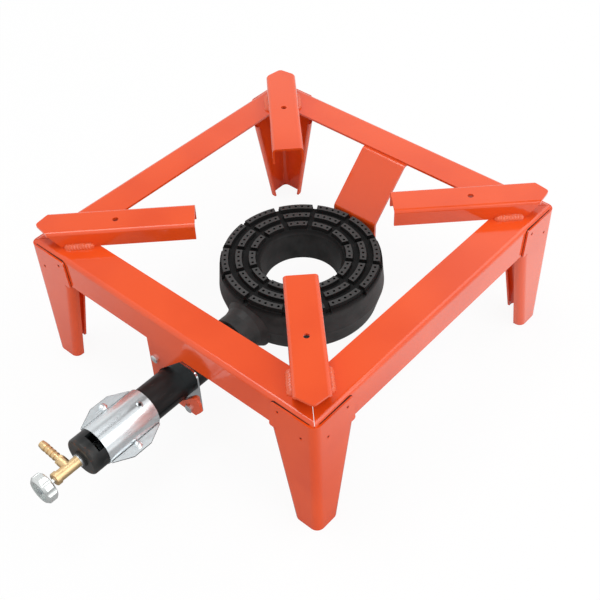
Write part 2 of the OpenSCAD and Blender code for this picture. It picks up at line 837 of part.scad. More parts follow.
// The neck's flare where it meets the casting's wall
module neck_flare() {
    intersection() {
        on_axis() translate([0, 0, neck_root]) rotate(seam_turn) {
            cylinder(r1 = neck_r + flare_w, r2 = neck_r + flare_bend, h = flare_len / 2);
            translate([0, 0, flare_len / 2])
                cylinder(r1 = neck_r + flare_bend, r2 = neck_r, h = flare_len / 2);
        }
        translate([-burner_r, -neck_end, burner_floor])
            cube([2 * burner_r, neck_end, burner_body_h - rim_drop]);
    }
}

// The room for the gas: chamber, passage and socket, less the boss round the strap bolt's hole
module gas_room() {
    translate([0, burner_back, 0]) difference() {
        rotate_extrude() burner_chamber();
        translate([0, strap_bolt_at, burner_floor])
            cylinder(r = boss_r_in, h = cast_wall + boss_high);
    }
    on_axis() rotate(seam_turn) {
        translate([0, 0, insert_back]) cylinder(r = socket_r, h = insert_len + over);
        translate([0, 0, passage_back]) cylinder(r = passage_r, h = insert_front - passage_back);
    }
}

module burner() {
    color(iron_colour) placed() difference() {
        union() {
            translate([0, burner_back, 0]) {
                rotate_extrude() burner_outside();
                for (r = [pad_inner_r, pad_middle_r, pad_outer_r]) pad_ring(r);
            }
            // Neck for the venturi, from inside the chamber's wall
            on_axis() translate([0, 0, neck_root]) rotate(seam_turn)
                cylinder(r = neck_r, h = insert_front - neck_root);
            neck_flare();
        }
        gas_room();
        translate([0, burner_back, 0]) {
            rim_notches();
            ports(pad_inner_r, ports_inner, port_step_inner);
            ports(pad_middle_r, ports_middle, port_step_middle);
            ports(pad_outer_r, ports_outer, port_step_outer);
        }
        at_strap_bolt() translate([0, 0, burner_floor - over])
            cylinder(r = bolt_hole_r, h = boss_high + cast_wall - over);
    }
}

// Venturi

// Half section of the venturi's outside, radius against distance forwards
module venturi_outside() {
    polygon([[0, insert_back], [tube_r, insert_back], [tube_r, mouth_back - mouth_cone],
             [mouth_r, mouth_back], [mouth_r, mouth_face - mouth_edge],
             [mouth_r - mouth_edge, mouth_face], [front_boss_r, mouth_face],
             [front_boss_r, boss_face], [0, boss_face]]);
    translate([mouth_r - mouth_edge, mouth_face - mouth_edge]) circle(mouth_edge);
}

// Half section of the venturi's inside: wide mouth, throat, widening tube
module venturi_inside() {
    polygon([[0, insert_back - over], [tube_bore_r, insert_back - over],
             [tube_bore_r, insert_front + insert_len], [throat_r, throat_at - mouth_cone],
             [throat_r, throat_at], [mouth_bore_r, mouth_back + mouth_len / 3],
             [mouth_bore_r, mouth_face - mouth_wall], [0, mouth_face - mouth_wall]]);
}

module venturi() {
    color(iron_colour) placed() on_axis() difference() {
        union() {
            rotate_extrude() venturi_outside();
            for (side = [0, 180]) rotate(side)
                translate([tube_r - over, -seam_w / 2, tab_face + bolt_head_h + over])
                    cube([over + seam_h, seam_w, mouth_back - tab_face - bolt_head_h - 2 * over]);
        }
        rotate_extrude() venturi_inside();
        for (side = [0, 180]) rotate(side + window_turn - window_angle / 2)
            translate([0, 0, mouth_face - window_at - window_len])
                rotate_extrude(angle = window_angle)
                    translate([throat_r, 0]) square([mouth_r, window_len]);
        translate([0, 0, mouth_face - mouth_wall - over])
            cylinder(r = stem_hole_r, h = mouth_wall + front_boss_h + 2 * over);
    }
}

// Venturi bracket

// The two bolt places, seen from the front
module at_keeper_bolts() {
    for (place = [[-bolt_x, bolt_up], [bolt_x, -bolt_down]]) translate(place) children();
}

// Outline of the tab, with its slot open up to the right and a round lug below the slot
module tab_outline() {
    // The lug's round end touches the right edge and the slot's lower edge
    lug_x = tab_right - lug_r;
    lug_y = lug_x * tan(slot_angle) - (slot_r + lug_r) / cos(slot_angle);
    corner_y = tab_corner_r - tab_below;
    polygon([[-tab_left, tab_top],
             each arc([tab_corner_r - tab_left, corner_y], tab_corner_r, 180, 270),
             [tab_right - tab_chamfer_w, -tab_below], [tab_right, tab_chamfer_h - tab_below],
             each arc([lug_x, lug_y], lug_r, 0, 90 + slot_angle),
             each arc([0, 0], slot_r, slot_angle - 90, slot_angle - 270),
             [tab_right, tab_right * tan(slot_angle) + slot_r / cos(slot_angle)],
             [tab_right, tab_top]]);
}

module venturi_tab() {
    color(paint_colour) placed() in_tab_plane(tab_face, tab_t) difference() {
        tab_outline();
        at_keeper_bolts() circle(bolt_hole_r);
    }
}

// Outline of the keeper plate; its chamfer lies behind the tab's
module keeper_outline() {
    r = keeper_corner_r;
    polygon([each arc([r - tab_left, r - tab_below], r, 180, 270),
             [tab_right - tab_chamfer_w, -tab_below], [keeper_right, keeper_chamfer_h - tab_below],
             each arc([keeper_right - r, keeper_above - r], r, 0, 90),
             each arc([r - tab_left, keeper_above - r], r, 90, 180)]);
}

module keeper_plate() {
    color(zinc_colour) placed() in_tab_plane(keeper_face, keeper_t) difference() {
        keeper_outline();
        circle(socket_r);
        at_keeper_bolts() circle(bolt_hole_r);
    }
}

module keeper_bolts() {
    grip = tab_t + keeper_t + nut_h + bolt_tail;
    color(zinc_colour) placed() on_axis() at_keeper_bolts() {
        translate([0, 0, tab_face]) intersection() {
            cylinder(r = bolt_head_r, h = bolt_head_h);
            translate([0, 0, bolt_head_h - 2 * bolt_head_r]) sphere(2 * bolt_head_r);
        }
        translate([0, 0, tab_face - grip]) cylinder(r = bolt_r, h = grip);
    }
}

module keeper_nuts() {
    color(zinc_colour) placed() on_axis() at_keeper_bolts()
        translate([0, 0, nut_face - nut_h]) difference() {
            hex_prism(nut_af, nut_h);
            translate([0, 0, -over]) cylinder(r = bolt_hole_r, h = nut_h + 2 * over);
        }
}

// Air shutter

// Turns the shutter's split plane to its tilt; X runs out along the right wing, Y up
module in_shutter() {
    on_axis() rotate(-wing_tilt) children();
}

// Outline of a wing: X away from the axis, Y forwards from the shell's rear edge
module wing_outline() {
    tip = shell_out + wing_reach;
    low = shell_out + wing_end_reach;
    corner = (shell_len - wing_flat) / 2;
    polygon([[shell_r, wing_inset], [low, wing_inset], [tip, corner], [tip, corner + wing_flat],
             [low, shell_len - wing_inset], [shell_r, shell_len - wing_inset]]);
}

// One half shell with both wings, above the split plane
module half_shell() {
    translate([0, 0, shell_back]) {
        difference() {
            union() {
                rotate(seam_turn) cylinder(r = shell_out, h = shell_len);
                for (side = [0, 1]) mirror([side, 0, 0]) translate([0, shell_t, 0])
                    rotate([90, 0, 0]) linear_extrude(shell_t) wing_outline();
            }
            translate([0, 0, -over]) rotate(seam_turn) cylinder(r = shell_r, h = shell_len + 2 * over);
            translate([-frame_w, -2 * frame_w, -over]) cube([2 * frame_w, 2 * frame_w, frame_w]);
            at_wing_bolts() translate([0, 0, -over]) cylinder(r = wing_hole_r, h = shell_t + 2 * over);
        }
    }
}

// The two bolt places on the wings, with Z up from the split plane
module at_wing_bolts() {
    for (side = [-1, 1]) translate([side * wing_bolt_at, 0, shell_len / 2]) rotate([-90, 0, 0])
        children();
}

// The round nib pressed out of the upper shell
module nib() {
    ball = (nib_r * nib_r + nib_h * nib_h) / (2 * nib_h);
    difference() {
        translate([0, shell_out + nib_h - ball, shell_back + nib_at]) sphere(ball);
        translate([0, 0, shell_back - shell_len]) cylinder(r = shell_out - shell_t / 2, h = 3 * shell_len);
    }
}

module shutter_upper() {
    color(zinc_colour) placed() in_shutter() difference() {
        union() {
            half_shell();
            nib();
        }
        translate([0, shell_r - over, shell_back + nib_at]) rotate([-90, 0, 0])
            rotate(seam_turn) cylinder(r = nib_hole_r, h = shell_t + nib_h + 2 * over);
    }
}

module shutter_lower() {
    color(zinc_colour) placed() in_shutter() mirror([0, 1, 0]) half_shell();
}

module shutter_bolts() {
    shank = 2 * shell_t + wing_nut_h + over;
    color(zinc_colour) placed() in_shutter() translate([0, 0, shell_back]) at_wing_bolts() {
        translate([0, 0, shell_t]) intersection() {
            cylinder(r = wing_head_r, h = wing_head_h);
            translate([0, 0, wing_head_h - 2 * wing_head_r]) sphere(2 * wing_head_r);
        }
        translate([0, 0, shell_t - shank]) cylinder(r = wing_bolt_r, h = shank);
    }
}

module shutter_nuts() {
    color(zinc_colour) placed() in_shutter() translate([0, 0, shell_back]) at_wing_bolts()
        translate([0, 0, -shell_t - wing_nut_h]) difference() {
            hex_prism(wing_nut_af, wing_nut_h);
            translate([0, 0, -over]) cylinder(r = wing_hole_r, h = wing_nut_h + 2 * over);
        }
}

// Tap

module jet() {
    straight = jet_len - jet_cone;
    color(brass_colour) placed() on_axis() translate([0, 0, stem_end]) mirror([0, 0, 1])
        difference() {
            union() {
                hex_prism(2 * stem_r, jet_base);
                cylinder(r = jet_r, h = straight);
                translate([0, 0, straight]) cylinder(r1 = jet_r, r2 = seat_r, h = jet_cone);
            }
            translate([0, 0, -over]) cylinder(r = seat_r, h = straight + over);
            translate([0, 0, -over]) cylinder(r = jet_hole_r, h = jet_len + 2 * over);
        }
}

module tap_washer() {
    color(zinc_colour) placed() on_axis() translate([0, 0, boss_face]) difference() {
        cylinder(r = washer_r, h = washer_t);
        translate([0, 0, -over]) cylinder(r = stem_hole_r, h = washer_t + 2 * over);
    }
}

// Turns +Z out along the hose tail, from the axis at the tail's distance
module on_tail() {
    on_axis() translate([0, 0, tail_y]) rotate(tail_turn) rotate([0, 90, 0]) children();
}

module tap_body() {
    color(brass_colour) placed() difference() {
        union() {
            on_axis() {
                translate([0, 0, washer_face]) cylinder(r = tap_r, h = tap_len);
                translate([0, 0, stem_end]) cylinder(r = stem_r, h = washer_face - stem_end + over);
            }
            on_tail() cylinder(r = boss_r, h = boss_reach);
        }
        on_axis() {
            translate([0, 0, stem_end - over]) cylinder(r = seat_r, h = tap_len);
            translate([0, 0, chamber_back]) cylinder(r = chamber_r, h = chamber_front - chamber_back);
            translate([0, 0, chamber_front - over])
                cylinder(r = spindle_bore_r, h = tap_end - chamber_front + 2 * over);
            translate([0, 0, tap_end - gland_spigot])
                cylinder(r = gland_spigot_r + hole_play, h = gland_spigot + over);
        }
        on_tail() {
            cylinder(r = tail_bore_r, h = boss_reach + over);
            translate([0, 0, tap_r + over])
                cylinder(r = tail_r + hole_play, h = boss_reach);
        }
    }
}

// Half section of the hose tail, radius against reach from the tap's axis
module tail_section() {
    end_from = tail_reach - barb_end;
    polygon([[tail_bore_r, tap_r + over], [tail_r, tap_r + over],
             for (k = [barbs:-1:0])
                 let (from = end_from - k * barb_pitch, land = k > 0 ? barb_land : end_land)
                 each [[tail_r, from], [barb_r, from], [barb_r, from + land]],
             [tail_r, tail_reach], [tail_bore_r, tail_reach]]);
}

module hose_tail() {
    color(brass_colour) placed() on_tail() {
        rotate_extrude() tail_section();
        translate([0, 0, boss_reach]) difference() {
            hex_prism(tail_af, tail_hex_h);
            translate([0, 0, -over]) cylinder(r = tail_bore_r, h = tail_hex_h + 2 * over);
        }
    }
}

module gland_nut() {
    color(brass_colour) placed() on_axis() difference() {
        union() {
            translate([0, 0, tap_end]) cylinder(r = gland_r, h = gland_len - gland_edge);
            translate([0, 0, gland_end - gland_edge])
                cylinder(r1 = gland_r, r2 = gland_r - gland_edge, h = gland_edge);
            translate([0, 0, tap_end - gland_spigot])
                cylinder(r = gland_spigot_r, h = gland_spigot + over);
        }
        translate([0, 0, tap_end - gland_spigot - over])
            cylinder(r = spindle_bore_r, h = gland_len + gland_spigot + 2 * over);
    }
}

module spindle() {
    needle = chamber_back + needle_gap;
    color(zinc_colour) placed() on_axis() difference() {
        union() {
            translate([0, 0, needle + needle_len])
                cylinder(r = spindle_r, h = knob_floor - needle - needle_len);
            translate([0, 0, needle]) cylinder(r1 = needle_tip_r, r2 = spindle_r, h = needle_len);
        }
        translate([0, 0, knob_floor - screw_depth])
            cylinder(r = screw_r + hole_play, h = screw_depth + over);
    }
}

module knob() {
    straight = knob_rim - knob_back_edge - knob_front_edge;
    color(chrome_colour) placed() on_axis() difference() {
        union() {
            translate([0, 0, hub_start]) cylinder(r = hub_r, h = knob_hub + over);
            translate([0, 0, rim_start]) {
                cylinder(r1 = knob_r - knob_back_edge, r2 = knob_r, h = knob_back_edge);
                translate([0, 0, knob_back_edge]) cylinder(r = knob_r, h = straight);
                translate([0, 0, knob_rim - knob_front_edge])
                    cylinder(r1 = knob_r, r2 = knob_r - knob_front_edge, h = knob_front_edge);
            }
        }
        // Dish in the front face round a lower centre boss
        translate([0, 0, knob_floor]) difference() {
            cylinder(r = knob_r - dish_rim, h = knob_dish + over);
            translate([0, 0, -over]) cylinder(r = knob_boss_r, h = knob_seat - knob_floor + over);
        }
        for (k = [0:knob_flutes - 1]) rotate((k + 1 / 2) * 360 / knob_flutes)
            translate([knob_r + flute_r - flute_depth, 0, rim_start - over])
                cylinder(r = flute_r, h = knob_rim + 2 * over);
        translate([0, 0, hub_start - over])
            cylinder(r = hub_bore_r, h = knob_floor - hub_start + over);
        translate([0, 0, knob_floor - over])
            cylinder(r = screw_r + hole_play, h = knob_dish + 2 * over);
    }
}

module knob_screw() {
    color(zinc_colour) placed() on_axis() difference() {
        union() {
            translate([0, 0, knob_floor - screw_depth + over])
                cylinder(r = screw_r, h = screw_depth - over + knob_seat - knob_floor);
            translate([0, 0, knob_seat]) cylinder(r = screw_head_r, h = screw_head_h);
        }
        translate([-screw_head_r - over, -slot_w / 2, knob_seat + screw_head_h / 2])
            cube([2 * screw_head_r + 2 * over, slot_w, screw_head_h]);
    }
}

rail_front();
rail_rear();
rail_left();
rail_right();
leg_front_left();
leg_front_right();
leg_rear_left();
leg_rear_right();
support_front_left();
support_front_right();
support_rear_left();
support_rear_right();
weld_beads();
rear_strap();
strap_bolt();
strap_washer();
venturi_tab();
keeper_plate();
keeper_bolts();
keeper_nuts();
burner();
venturi();
shutter_upper();
shutter_lower();
shutter_bolts();
shutter_nuts();
jet();
tap_washer();
tap_body();
hose_tail();
gland_nut();
spindle();
knob();
knob_screw();
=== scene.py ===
"""Looks of a low square gas burner stand: enamelled stand, cast ring burner, venturi, air shutter, tap."""

import logging
import math
from dataclasses import dataclass, field
from enum import Enum, StrEnum
from typing import Any, Sequence

import bmesh
import bpy
from mathutils import Matrix, Vector, noise

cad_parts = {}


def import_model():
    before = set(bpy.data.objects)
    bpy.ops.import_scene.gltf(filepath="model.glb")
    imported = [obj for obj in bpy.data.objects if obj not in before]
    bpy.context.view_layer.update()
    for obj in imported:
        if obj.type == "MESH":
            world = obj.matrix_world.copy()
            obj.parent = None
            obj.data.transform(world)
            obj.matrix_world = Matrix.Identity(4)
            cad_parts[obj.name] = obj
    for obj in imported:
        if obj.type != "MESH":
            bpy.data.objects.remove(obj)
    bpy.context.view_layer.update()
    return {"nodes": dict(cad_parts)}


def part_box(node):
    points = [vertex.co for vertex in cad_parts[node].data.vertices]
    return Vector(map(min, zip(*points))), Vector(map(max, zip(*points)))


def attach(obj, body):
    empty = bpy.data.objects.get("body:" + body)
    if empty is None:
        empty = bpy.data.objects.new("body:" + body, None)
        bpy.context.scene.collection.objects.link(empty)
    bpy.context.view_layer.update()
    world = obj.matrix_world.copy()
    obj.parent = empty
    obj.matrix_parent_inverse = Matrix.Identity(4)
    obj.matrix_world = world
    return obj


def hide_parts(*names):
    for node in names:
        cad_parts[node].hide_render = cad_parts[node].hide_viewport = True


log = logging.getLogger("burner_stand")

MM = 0.001
WHITE = (1.0, 1.0, 1.0, 1.0)
Point = tuple[float, float, float]
Colour = tuple[float, float, float]


class Slot(StrEnum):
    """The record's material slots."""

    STAND_PAINT = "stand_paint"
    BURNER_IRON = "burner_iron"
    TUBE_IRON = "tube_iron"
    ZINC_SHEET = "zinc_sheet"
    ZINC_FIXING = "zinc_fixing"
    BRASS = "brass"
    SPINDLE_STEEL = "spindle_steel"
    KNOB_METAL = "knob_metal"


class Body(StrEnum):
    """The bodies that added pieces ride on."""

    STAND = "stand"
    AIR_SHUTTER = "air_shutter"


def mix(low: float, high: float, share: float) -> float:
    """A number between two others.

    Args:
        low: the result where the share is 0.
        high: the result where the share is 1.
        share: how far from low to high.

    Returns:
        The number.
    """
    return low + (high - low) * share


class Value:
    """A number socket in a shader, on which Python's arithmetic adds Math nodes."""

    def __init__(self, tree: "Tree", socket: bpy.types.NodeSocket) -> None:
        """Wraps one output socket.

        Args:
            tree: the tree that the socket is in.
            socket: the output socket that carries the number.
        """
        self.tree = tree
        self.socket = socket

    def _math(self, operation: str, first: Any, second: Any) -> "Value":
        """Adds one Math node.

        Args:
            operation: the Math node's operation.
            first: its first input, a number or a Value.
            second: its second input, a number or a Value.

        Returns:
            The node's result.
        """
        node = self.tree.node("ShaderNodeMath", {"operation": operation}, {0: first, 1: second})
        return Value(self.tree, node.outputs[0])

    def __add__(self, other: Any) -> "Value":
        """Sum with a number or a Value."""
        return self._math("ADD", self, other)

    def __radd__(self, other: Any) -> "Value":
        """Sum with a number on the left."""
        return self._math("ADD", other, self)

    def __sub__(self, other: Any) -> "Value":
        """Difference from a number or a Value."""
        return self._math("SUBTRACT", self, other)

    def __rsub__(self, other: Any) -> "Value":
        """Difference of a number on the left."""
        return self._math("SUBTRACT", other, self)

    def __mul__(self, other: Any) -> "Value":
        """Product with a number or a Value."""
        return self._math("MULTIPLY", self, other)

    def __rmul__(self, other: Any) -> "Value":
        """Product with a number on the left."""
        return self._math("MULTIPLY", other, self)

    def between(self, low: float, high: float) -> "Value":
        """Spreads a value from 0 to 1 over a range.

        Args:
            low: the result where the value is 0.
            high: the result where the value is 1.

        Returns:
            The spread value.
        """
        return self * (high - low) + low

    def step(self, low: float, high: float) -> "Value":
        """Smooth step from 0 to 1 between two values.

        Args:
            low: the value at which the result is 0.
            high: the value at which the result is 1.

        Returns:
            The stepped value.
        """
        node = self.tree.node(
            "ShaderNodeMapRange",
            {"interpolation_type": "SMOOTHSTEP", "clamp": True},
            {"Value": self, "From Min": low, "From Max": high},
        )
        return Value(self.tree, node.outputs["Result"])


class Tree:
    """A shader node tree that is built node by node."""

    def __init__(self, tree: bpy.types.NodeTree, output: str) -> None:
        """Empties the tree and adds its output.

        Args:
            tree: the node tree.
            output: the type of its output node.
        """
        self.tree = tree
        self.tree.nodes.clear()
        self.output = self.node(output)

    def node(self, kind: str, settings: dict[str, Any] | None = None,
             inputs: dict[Any, Any] | None = None) -> bpy.types.Node:
        """Adds one node.

        Args:
            kind: the node's type.
            settings: its own settings, which are set first.
            inputs: its sockets by name or number, each a number, a colour, a socket or a Value.

        Returns:
            The new node.
        """
        made = self.tree.nodes.new(kind)
        for key, value in (settings or {}).items():
            setattr(made, key, value)
        for key, value in (inputs or {}).items():
            self.feed(made.inputs[key], value)
        return made

    def feed(self, socket: bpy.types.NodeSocket, value: Any) -> None:
        """Links or sets one input.

        Args:
            socket: the input socket.
            value: a number, a colour, a socket or a Value.
        """
        if isinstance(value, Value):
            self.tree.links.new(value.socket, socket)
        elif isinstance(value, bpy.types.NodeSocket):
            self.tree.links.new(value, socket)
        else:
            socket.default_value = value

    def light_path(self, kind: str) -> Value:
        """Tells one kind of ray from the others.

        Args:
            kind: the name of the kind, such as Is Camera Ray.

        Returns:
            1 for a ray of that kind and 0 for any other.
        """
        return Value(self, self.node("ShaderNodeLightPath").outputs[kind])

    def either(self, first: bpy.types.NodeSocket, second: bpy.types.NodeSocket,
               share: Value) -> bpy.types.NodeSocket:
        """Mixes two shaders.

        Args:
            first: the shader where the share is 0.
            second: the shader where the share is 1.
            share: how much of the second shows.

        Returns:
            The mixed shader.
        """
        return self.node("ShaderNodeMixShader", {}, {0: share, 1: first, 2: second}).outputs[0]


class WorldTree(Tree):
    """The node tree of the studio's surround."""

    def __init__(self, world: bpy.types.World) -> None:
        """Starts with an empty surround.

        Args:
            world: the world whose nodes these are.
        """
        super().__init__(world.node_tree, "ShaderNodeOutputWorld")

    def background(self, strength: float) -> bpy.types.NodeSocket:
        """A white light of one strength.

        Args:
            strength: its strength, where 1 looks white.

        Returns:
            The light's shader.
        """
        return self.node("ShaderNodeBackground", {}, {"Color": WHITE, "Strength": strength}).outputs[0]

    def toward(self, where: bpy.types.NodeSocket, turn: float, rise: float) -> Value:
        """How closely a direction points to a place in the surround.

        Args:
            where: the direction.
            turn: the place's direction round the vertical, in degrees from +X.
            rise: its height above the horizon, in degrees.

        Returns:
            The cosine of the angle between the two.
        """
        round_z, above = math.radians(turn), math.radians(rise)
        flat = math.cos(above)
        aim = (flat * math.cos(round_z), flat * math.sin(round_z), math.sin(above))
        made = self.node("ShaderNodeVectorMath", {"operation": "DOT_PRODUCT"}, {0: where, 1: aim})
        return Value(self, made.outputs["Value"])


class Surface(Tree):
    """A procedural material that is built node by node round one Principled shader."""

    def __init__(self, name: str) -> None:
        """Starts an empty material.

        Args:
            name: the material's name.
        """
        self.material = bpy.data.materials.new(name)
        self.material.use_nodes = True
        super().__init__(self.material.node_tree, "ShaderNodeOutputMaterial")
        self.shader = self.node("ShaderNodeBsdfPrincipled")
        self.feed(self.output.inputs["Surface"], self.shader.outputs[0])
        self._position = self.node("ShaderNodeTexCoord").outputs["Object"]

    def constant(self, **values: Any) -> None:
        """Sets sockets of the shader that are the same all over; a name's underscores stand for spaces."""
        for key, value in values.items():
            self.shader.inputs[key.replace("_", " ")].default_value = value

    def vary(self, **values: Any) -> None:
        """Feeds sockets of the shader that change over the surface; underscores stand for spaces."""
        for key, value in values.items():
            self.feed(self.shader.inputs[key.replace("_", " ")], value)

    def place(self, stretch: Point) -> bpy.types.NodeSocket:
        """Position on the piece in metres, stretched.

        Args:
            stretch: scale along each axis.

        Returns:
            The mapped position.
        """
        return self.node("ShaderNodeMapping", {}, {"Vector": self._position, "Scale": stretch}).outputs[0]

    def axis(self, name: str) -> Value:
        """One coordinate of the position, in metres."""
        return Value(self, self.node("ShaderNodeSeparateXYZ", {}, {0: self._position}).outputs[name])

    def cloud(self, size_mm: float, detail: float = 3.0, rough: float = 0.5,
              where: bpy.types.NodeSocket | None = None) -> Value:
        """Noise from 0 to 1.

        Args:
            size_mm: the size of its largest features.
            detail: the number of finer layers.
            rough: how strong the finer layers are.
            where: the position it is taken at.

        Returns:
            The noise.
        """
        node = self.node("ShaderNodeTexNoise", {}, {
            "Vector": where or self._position,
            "Scale": 1.0 / (size_mm * MM),
            "Detail": detail,
            "Roughness": rough,
        })
        return Value(self, node.outputs[0])

    def cells(self, size_mm: float) -> Value:
        """Distance to the nearest of scattered points, about 0 at a point.

        Args:
            size_mm: the usual distance between points.

        Returns:
            The distance as a share of the size.
        """
        inputs = {"Vector": self._position, "Scale": 1.0 / (size_mm * MM)}
        return Value(self, self.node("ShaderNodeTexVoronoi", {}, inputs).outputs["Distance"])

    def blend(self, low: Any, high: Any, factor: Any) -> bpy.types.NodeSocket:
        """Mixes two colours.

        Args:
            low: the colour where the factor is 0.
            high: the colour where the factor is 1.
            factor: a number or a Value.

        Returns:
            The mixed colour.
        """
        node = self.node("ShaderNodeMix", {"data_type": "RGBA"})
        for number, value in ((0, factor), (6, low), (7, high)):
            self.feed(node.inputs[number], (*value, 1.0) if isinstance(value, tuple) else value)
        return node.outputs[2]

    def relief(self, *layers: tuple[Value, float]) -> None:
        """Raises the surface by layers of bump.

        Args:
            layers: pairs of a height from 0 to 1 and its depth in millimetres.
        """
        normal: Any = None
        for height, depth_mm in layers:
            inputs: dict[Any, Any] = {"Height": height, "Distance": depth_mm * MM, "Strength": 1.0}
            if normal is not None:
                inputs["Normal"] = normal
            normal = self.node("ShaderNodeBump", {}, inputs).outputs[0]
        self.feed(self.shader.inputs["Normal"], normal)


@dataclass(frozen=True)
class Enamel:
    """Gloss stove enamel on folded sheet.

    Attributes:
        name: the material's name.
        colour: the enamel.
        deep: its deeper red, in broad patches.
        dust: the paler colour over specks of dust.
        patch_mm: the size of the patches.
        speck_mm: the distance between specks.
        gloss_mm: the size of the places where the gloss changes.
        wave_mm: the length of the sheet's slight waves, and wave_deep_mm their depth.
        peel_mm: the size of the orange peel, and peel_deep_mm its depth.
    """

    name: str = "gloss_enamel"
    colour: Colour = (0.80, 0.082, 0.011)
    deep: Colour = (0.72, 0.062, 0.006)
    dust: Colour = (0.85, 0.20, 0.10)
    patch_mm: float = 90.0
    speck_mm: float = 7.0
    gloss_mm: float = 35.0
    wave_mm: float = 60.0
    wave_deep_mm: float = 0.30
    peel_mm: float = 2.4
    peel_deep_mm: float = 0.008

    @classmethod
    def thin(cls) -> "Enamel":
        """The paler enamel of the weld beads, a painted highlight of their ripples."""
        # the paler colour is a painted highlight on the beads
        return cls("bead_highlight_enamel", (0.80, 0.115, 0.030), (0.70, 0.075, 0.012))

    def build(self) -> bpy.types.Material:
        """Makes the material.

        Returns:
            The enamel, with orange peel, slight sheet waves, dust specks and uneven gloss.
        """
        s = Surface(self.name)
        specks = s.cells(self.speck_mm).step(0.07, 0.03)
        tone = s.blend(self.deep, self.colour, s.cloud(self.patch_mm, detail=2).step(0.2, 0.62))
        gloss = s.cloud(self.gloss_mm, detail=4)
        s.vary(Base_Color=s.blend(tone, self.dust, specks * 0.2), Roughness=gloss.between(0.09, 0.19))
        s.constant(IOR=1.5, Coat_Weight=0.5, Coat_Roughness=0.04)
        waves = s.cloud(self.wave_mm, detail=1)
        peel = s.cloud(self.peel_mm, detail=2)
        s.relief((waves, self.wave_deep_mm), (peel, self.peel_deep_mm))
        return s.material


@dataclass(frozen=True)
class SeamShade:
    """Painted shade: the dull dark put in the slit between two sheets.

    Attributes:
        name: the material's name.
        colour: the slit's painted shade.
        edge: the paler colour that breaks through it.
        patch_mm: the size of the paler places.
        grain_mm: the size of the grain, and grain_deep_mm its depth.
    """

    # the material of the painted shade in slits and pits
    name: str = "painted_seam_shade"
    colour: Colour = (0.040, 0.007, 0.003)
    edge: Colour = (0.13, 0.015, 0.004)
    patch_mm: float = 5.0
    grain_mm: float = 1.5
    grain_deep_mm: float = 0.05

    @classmethod
    def on_zinc(cls) -> "SeamShade":
        """The grey painted shade of a slit between two plated sheets."""
        return cls("sheet_shadow", (0.020, 0.021, 0.022), (0.075, 0.078, 0.080))

    def build(self) -> bpy.types.Material:
        """Makes the material.

        Returns:
            The dull dark of painted shade.
        """
        s = Surface(self.name)
        tone = s.blend(self.colour, self.edge, s.cloud(self.patch_mm).step(0.5, 0.75))
        s.vary(Base_Color=tone, Roughness=s.cloud(2 * self.grain_mm, detail=2).between(0.55, 0.75))
        s.constant(IOR=1.3)
        s.relief((s.cloud(self.grain_mm, detail=2), self.grain_deep_mm))
        return s.material


@dataclass(frozen=True)
class CastIron:
    """Satin black stove paint on a sand casting, painted paler on the tops of the pads, partly wear and
    partly painted highlight, and darker in the grooves as painted shade.

    Attributes:
        top_z: the height of the pads' tops.
        wear_and_highlight_from: how far below the tops the paler paint of wear and painted highlight starts,
            and wear_and_highlight_full where it is full.
        shade_to: how far below the tops the painted shade of the grooves reaches.
        fade: the distance below that over which it fades out.
        colour: the paint.
        worn: the paint where it is rubbed.
        pad_wear_and_highlight: the paler tops of the pads, partly wear and partly painted highlight.
        rust: the brownish patches.
        patch_mm: the size of the rubbed patches.
        rust_mm: the size of the brownish patches.
        lump_mm: the size of the casting's slight lumps.
        grain_mm: the size of the sand grain, and grain_deep_mm its depth.
        pit_mm: the distance between pits.
    """

    top_z: float
    wear_and_highlight_from: float = 0.45 * MM
    wear_and_highlight_full: float = 0.12 * MM
    shade_to: float = 5.5 * MM
    fade: float = 7.5 * MM
    colour: Colour = (0.004, 0.0042, 0.0043)
    worn: Colour = (0.040, 0.041, 0.041)
    pad_wear_and_highlight: Colour = (0.058, 0.058, 0.058)
    rust: Colour = (0.075, 0.034, 0.024)
    patch_mm: float = 16.0
    rust_mm: float = 22.0
    lump_mm: float = 9.0
    grain_mm: float = 0.9
    grain_deep_mm: float = 0.12
    pit_mm: float = 3.2

    def build(self) -> bpy.types.Material:
        """Makes the material.

        Returns:
            The casting, with sand grain, pits, high spots painted greyer as wear and painted highlight,
            grooves painted darker as painted shade, and a few brownish patches.
        """
        s = Surface("black_casting")
        grain = s.cloud(self.grain_mm, detail=4, rough=0.6)
        pits = s.cells(self.pit_mm).step(0.22, 0.05)
        patches = s.cloud(self.patch_mm)
        rusty = s.cloud(self.rust_mm, rough=0.6).step(0.60, 0.74)
        # the pads' tops are painted paler: partly wear, partly painted highlight
        raised = s.axis("Z").step(self.top_z - self.wear_and_highlight_from, self.top_z - self.wear_and_highlight_full)
        dark_z = self.top_z - self.shade_to
        # the grooves are painted darker, fading out down the walls below: painted shade
        groove_shade = s.axis("Z").step(dark_z - self.fade, dark_z) * (1 - raised)
        base = s.blend(self.colour, self.worn, patches.step(0.2, 0.7).between(0.4, 1.0) * (1 - groove_shade))
        base = s.blend(base, self.pad_wear_and_highlight, raised * grain.step(0.35, 0.65).between(0.55, 1.0))
        dull = patches.between(0.34, 0.54) + groove_shade * 0.3
        s.vary(Base_Color=s.blend(base, self.rust, rusty * 0.07), Roughness=dull)
        s.constant(IOR=1.36)
        lumps = s.cloud(self.lump_mm, detail=2)
        s.relief((lumps, 2 * self.grain_deep_mm), (grain, self.grain_deep_mm), (1 - pits, self.grain_deep_mm))
        return s.material


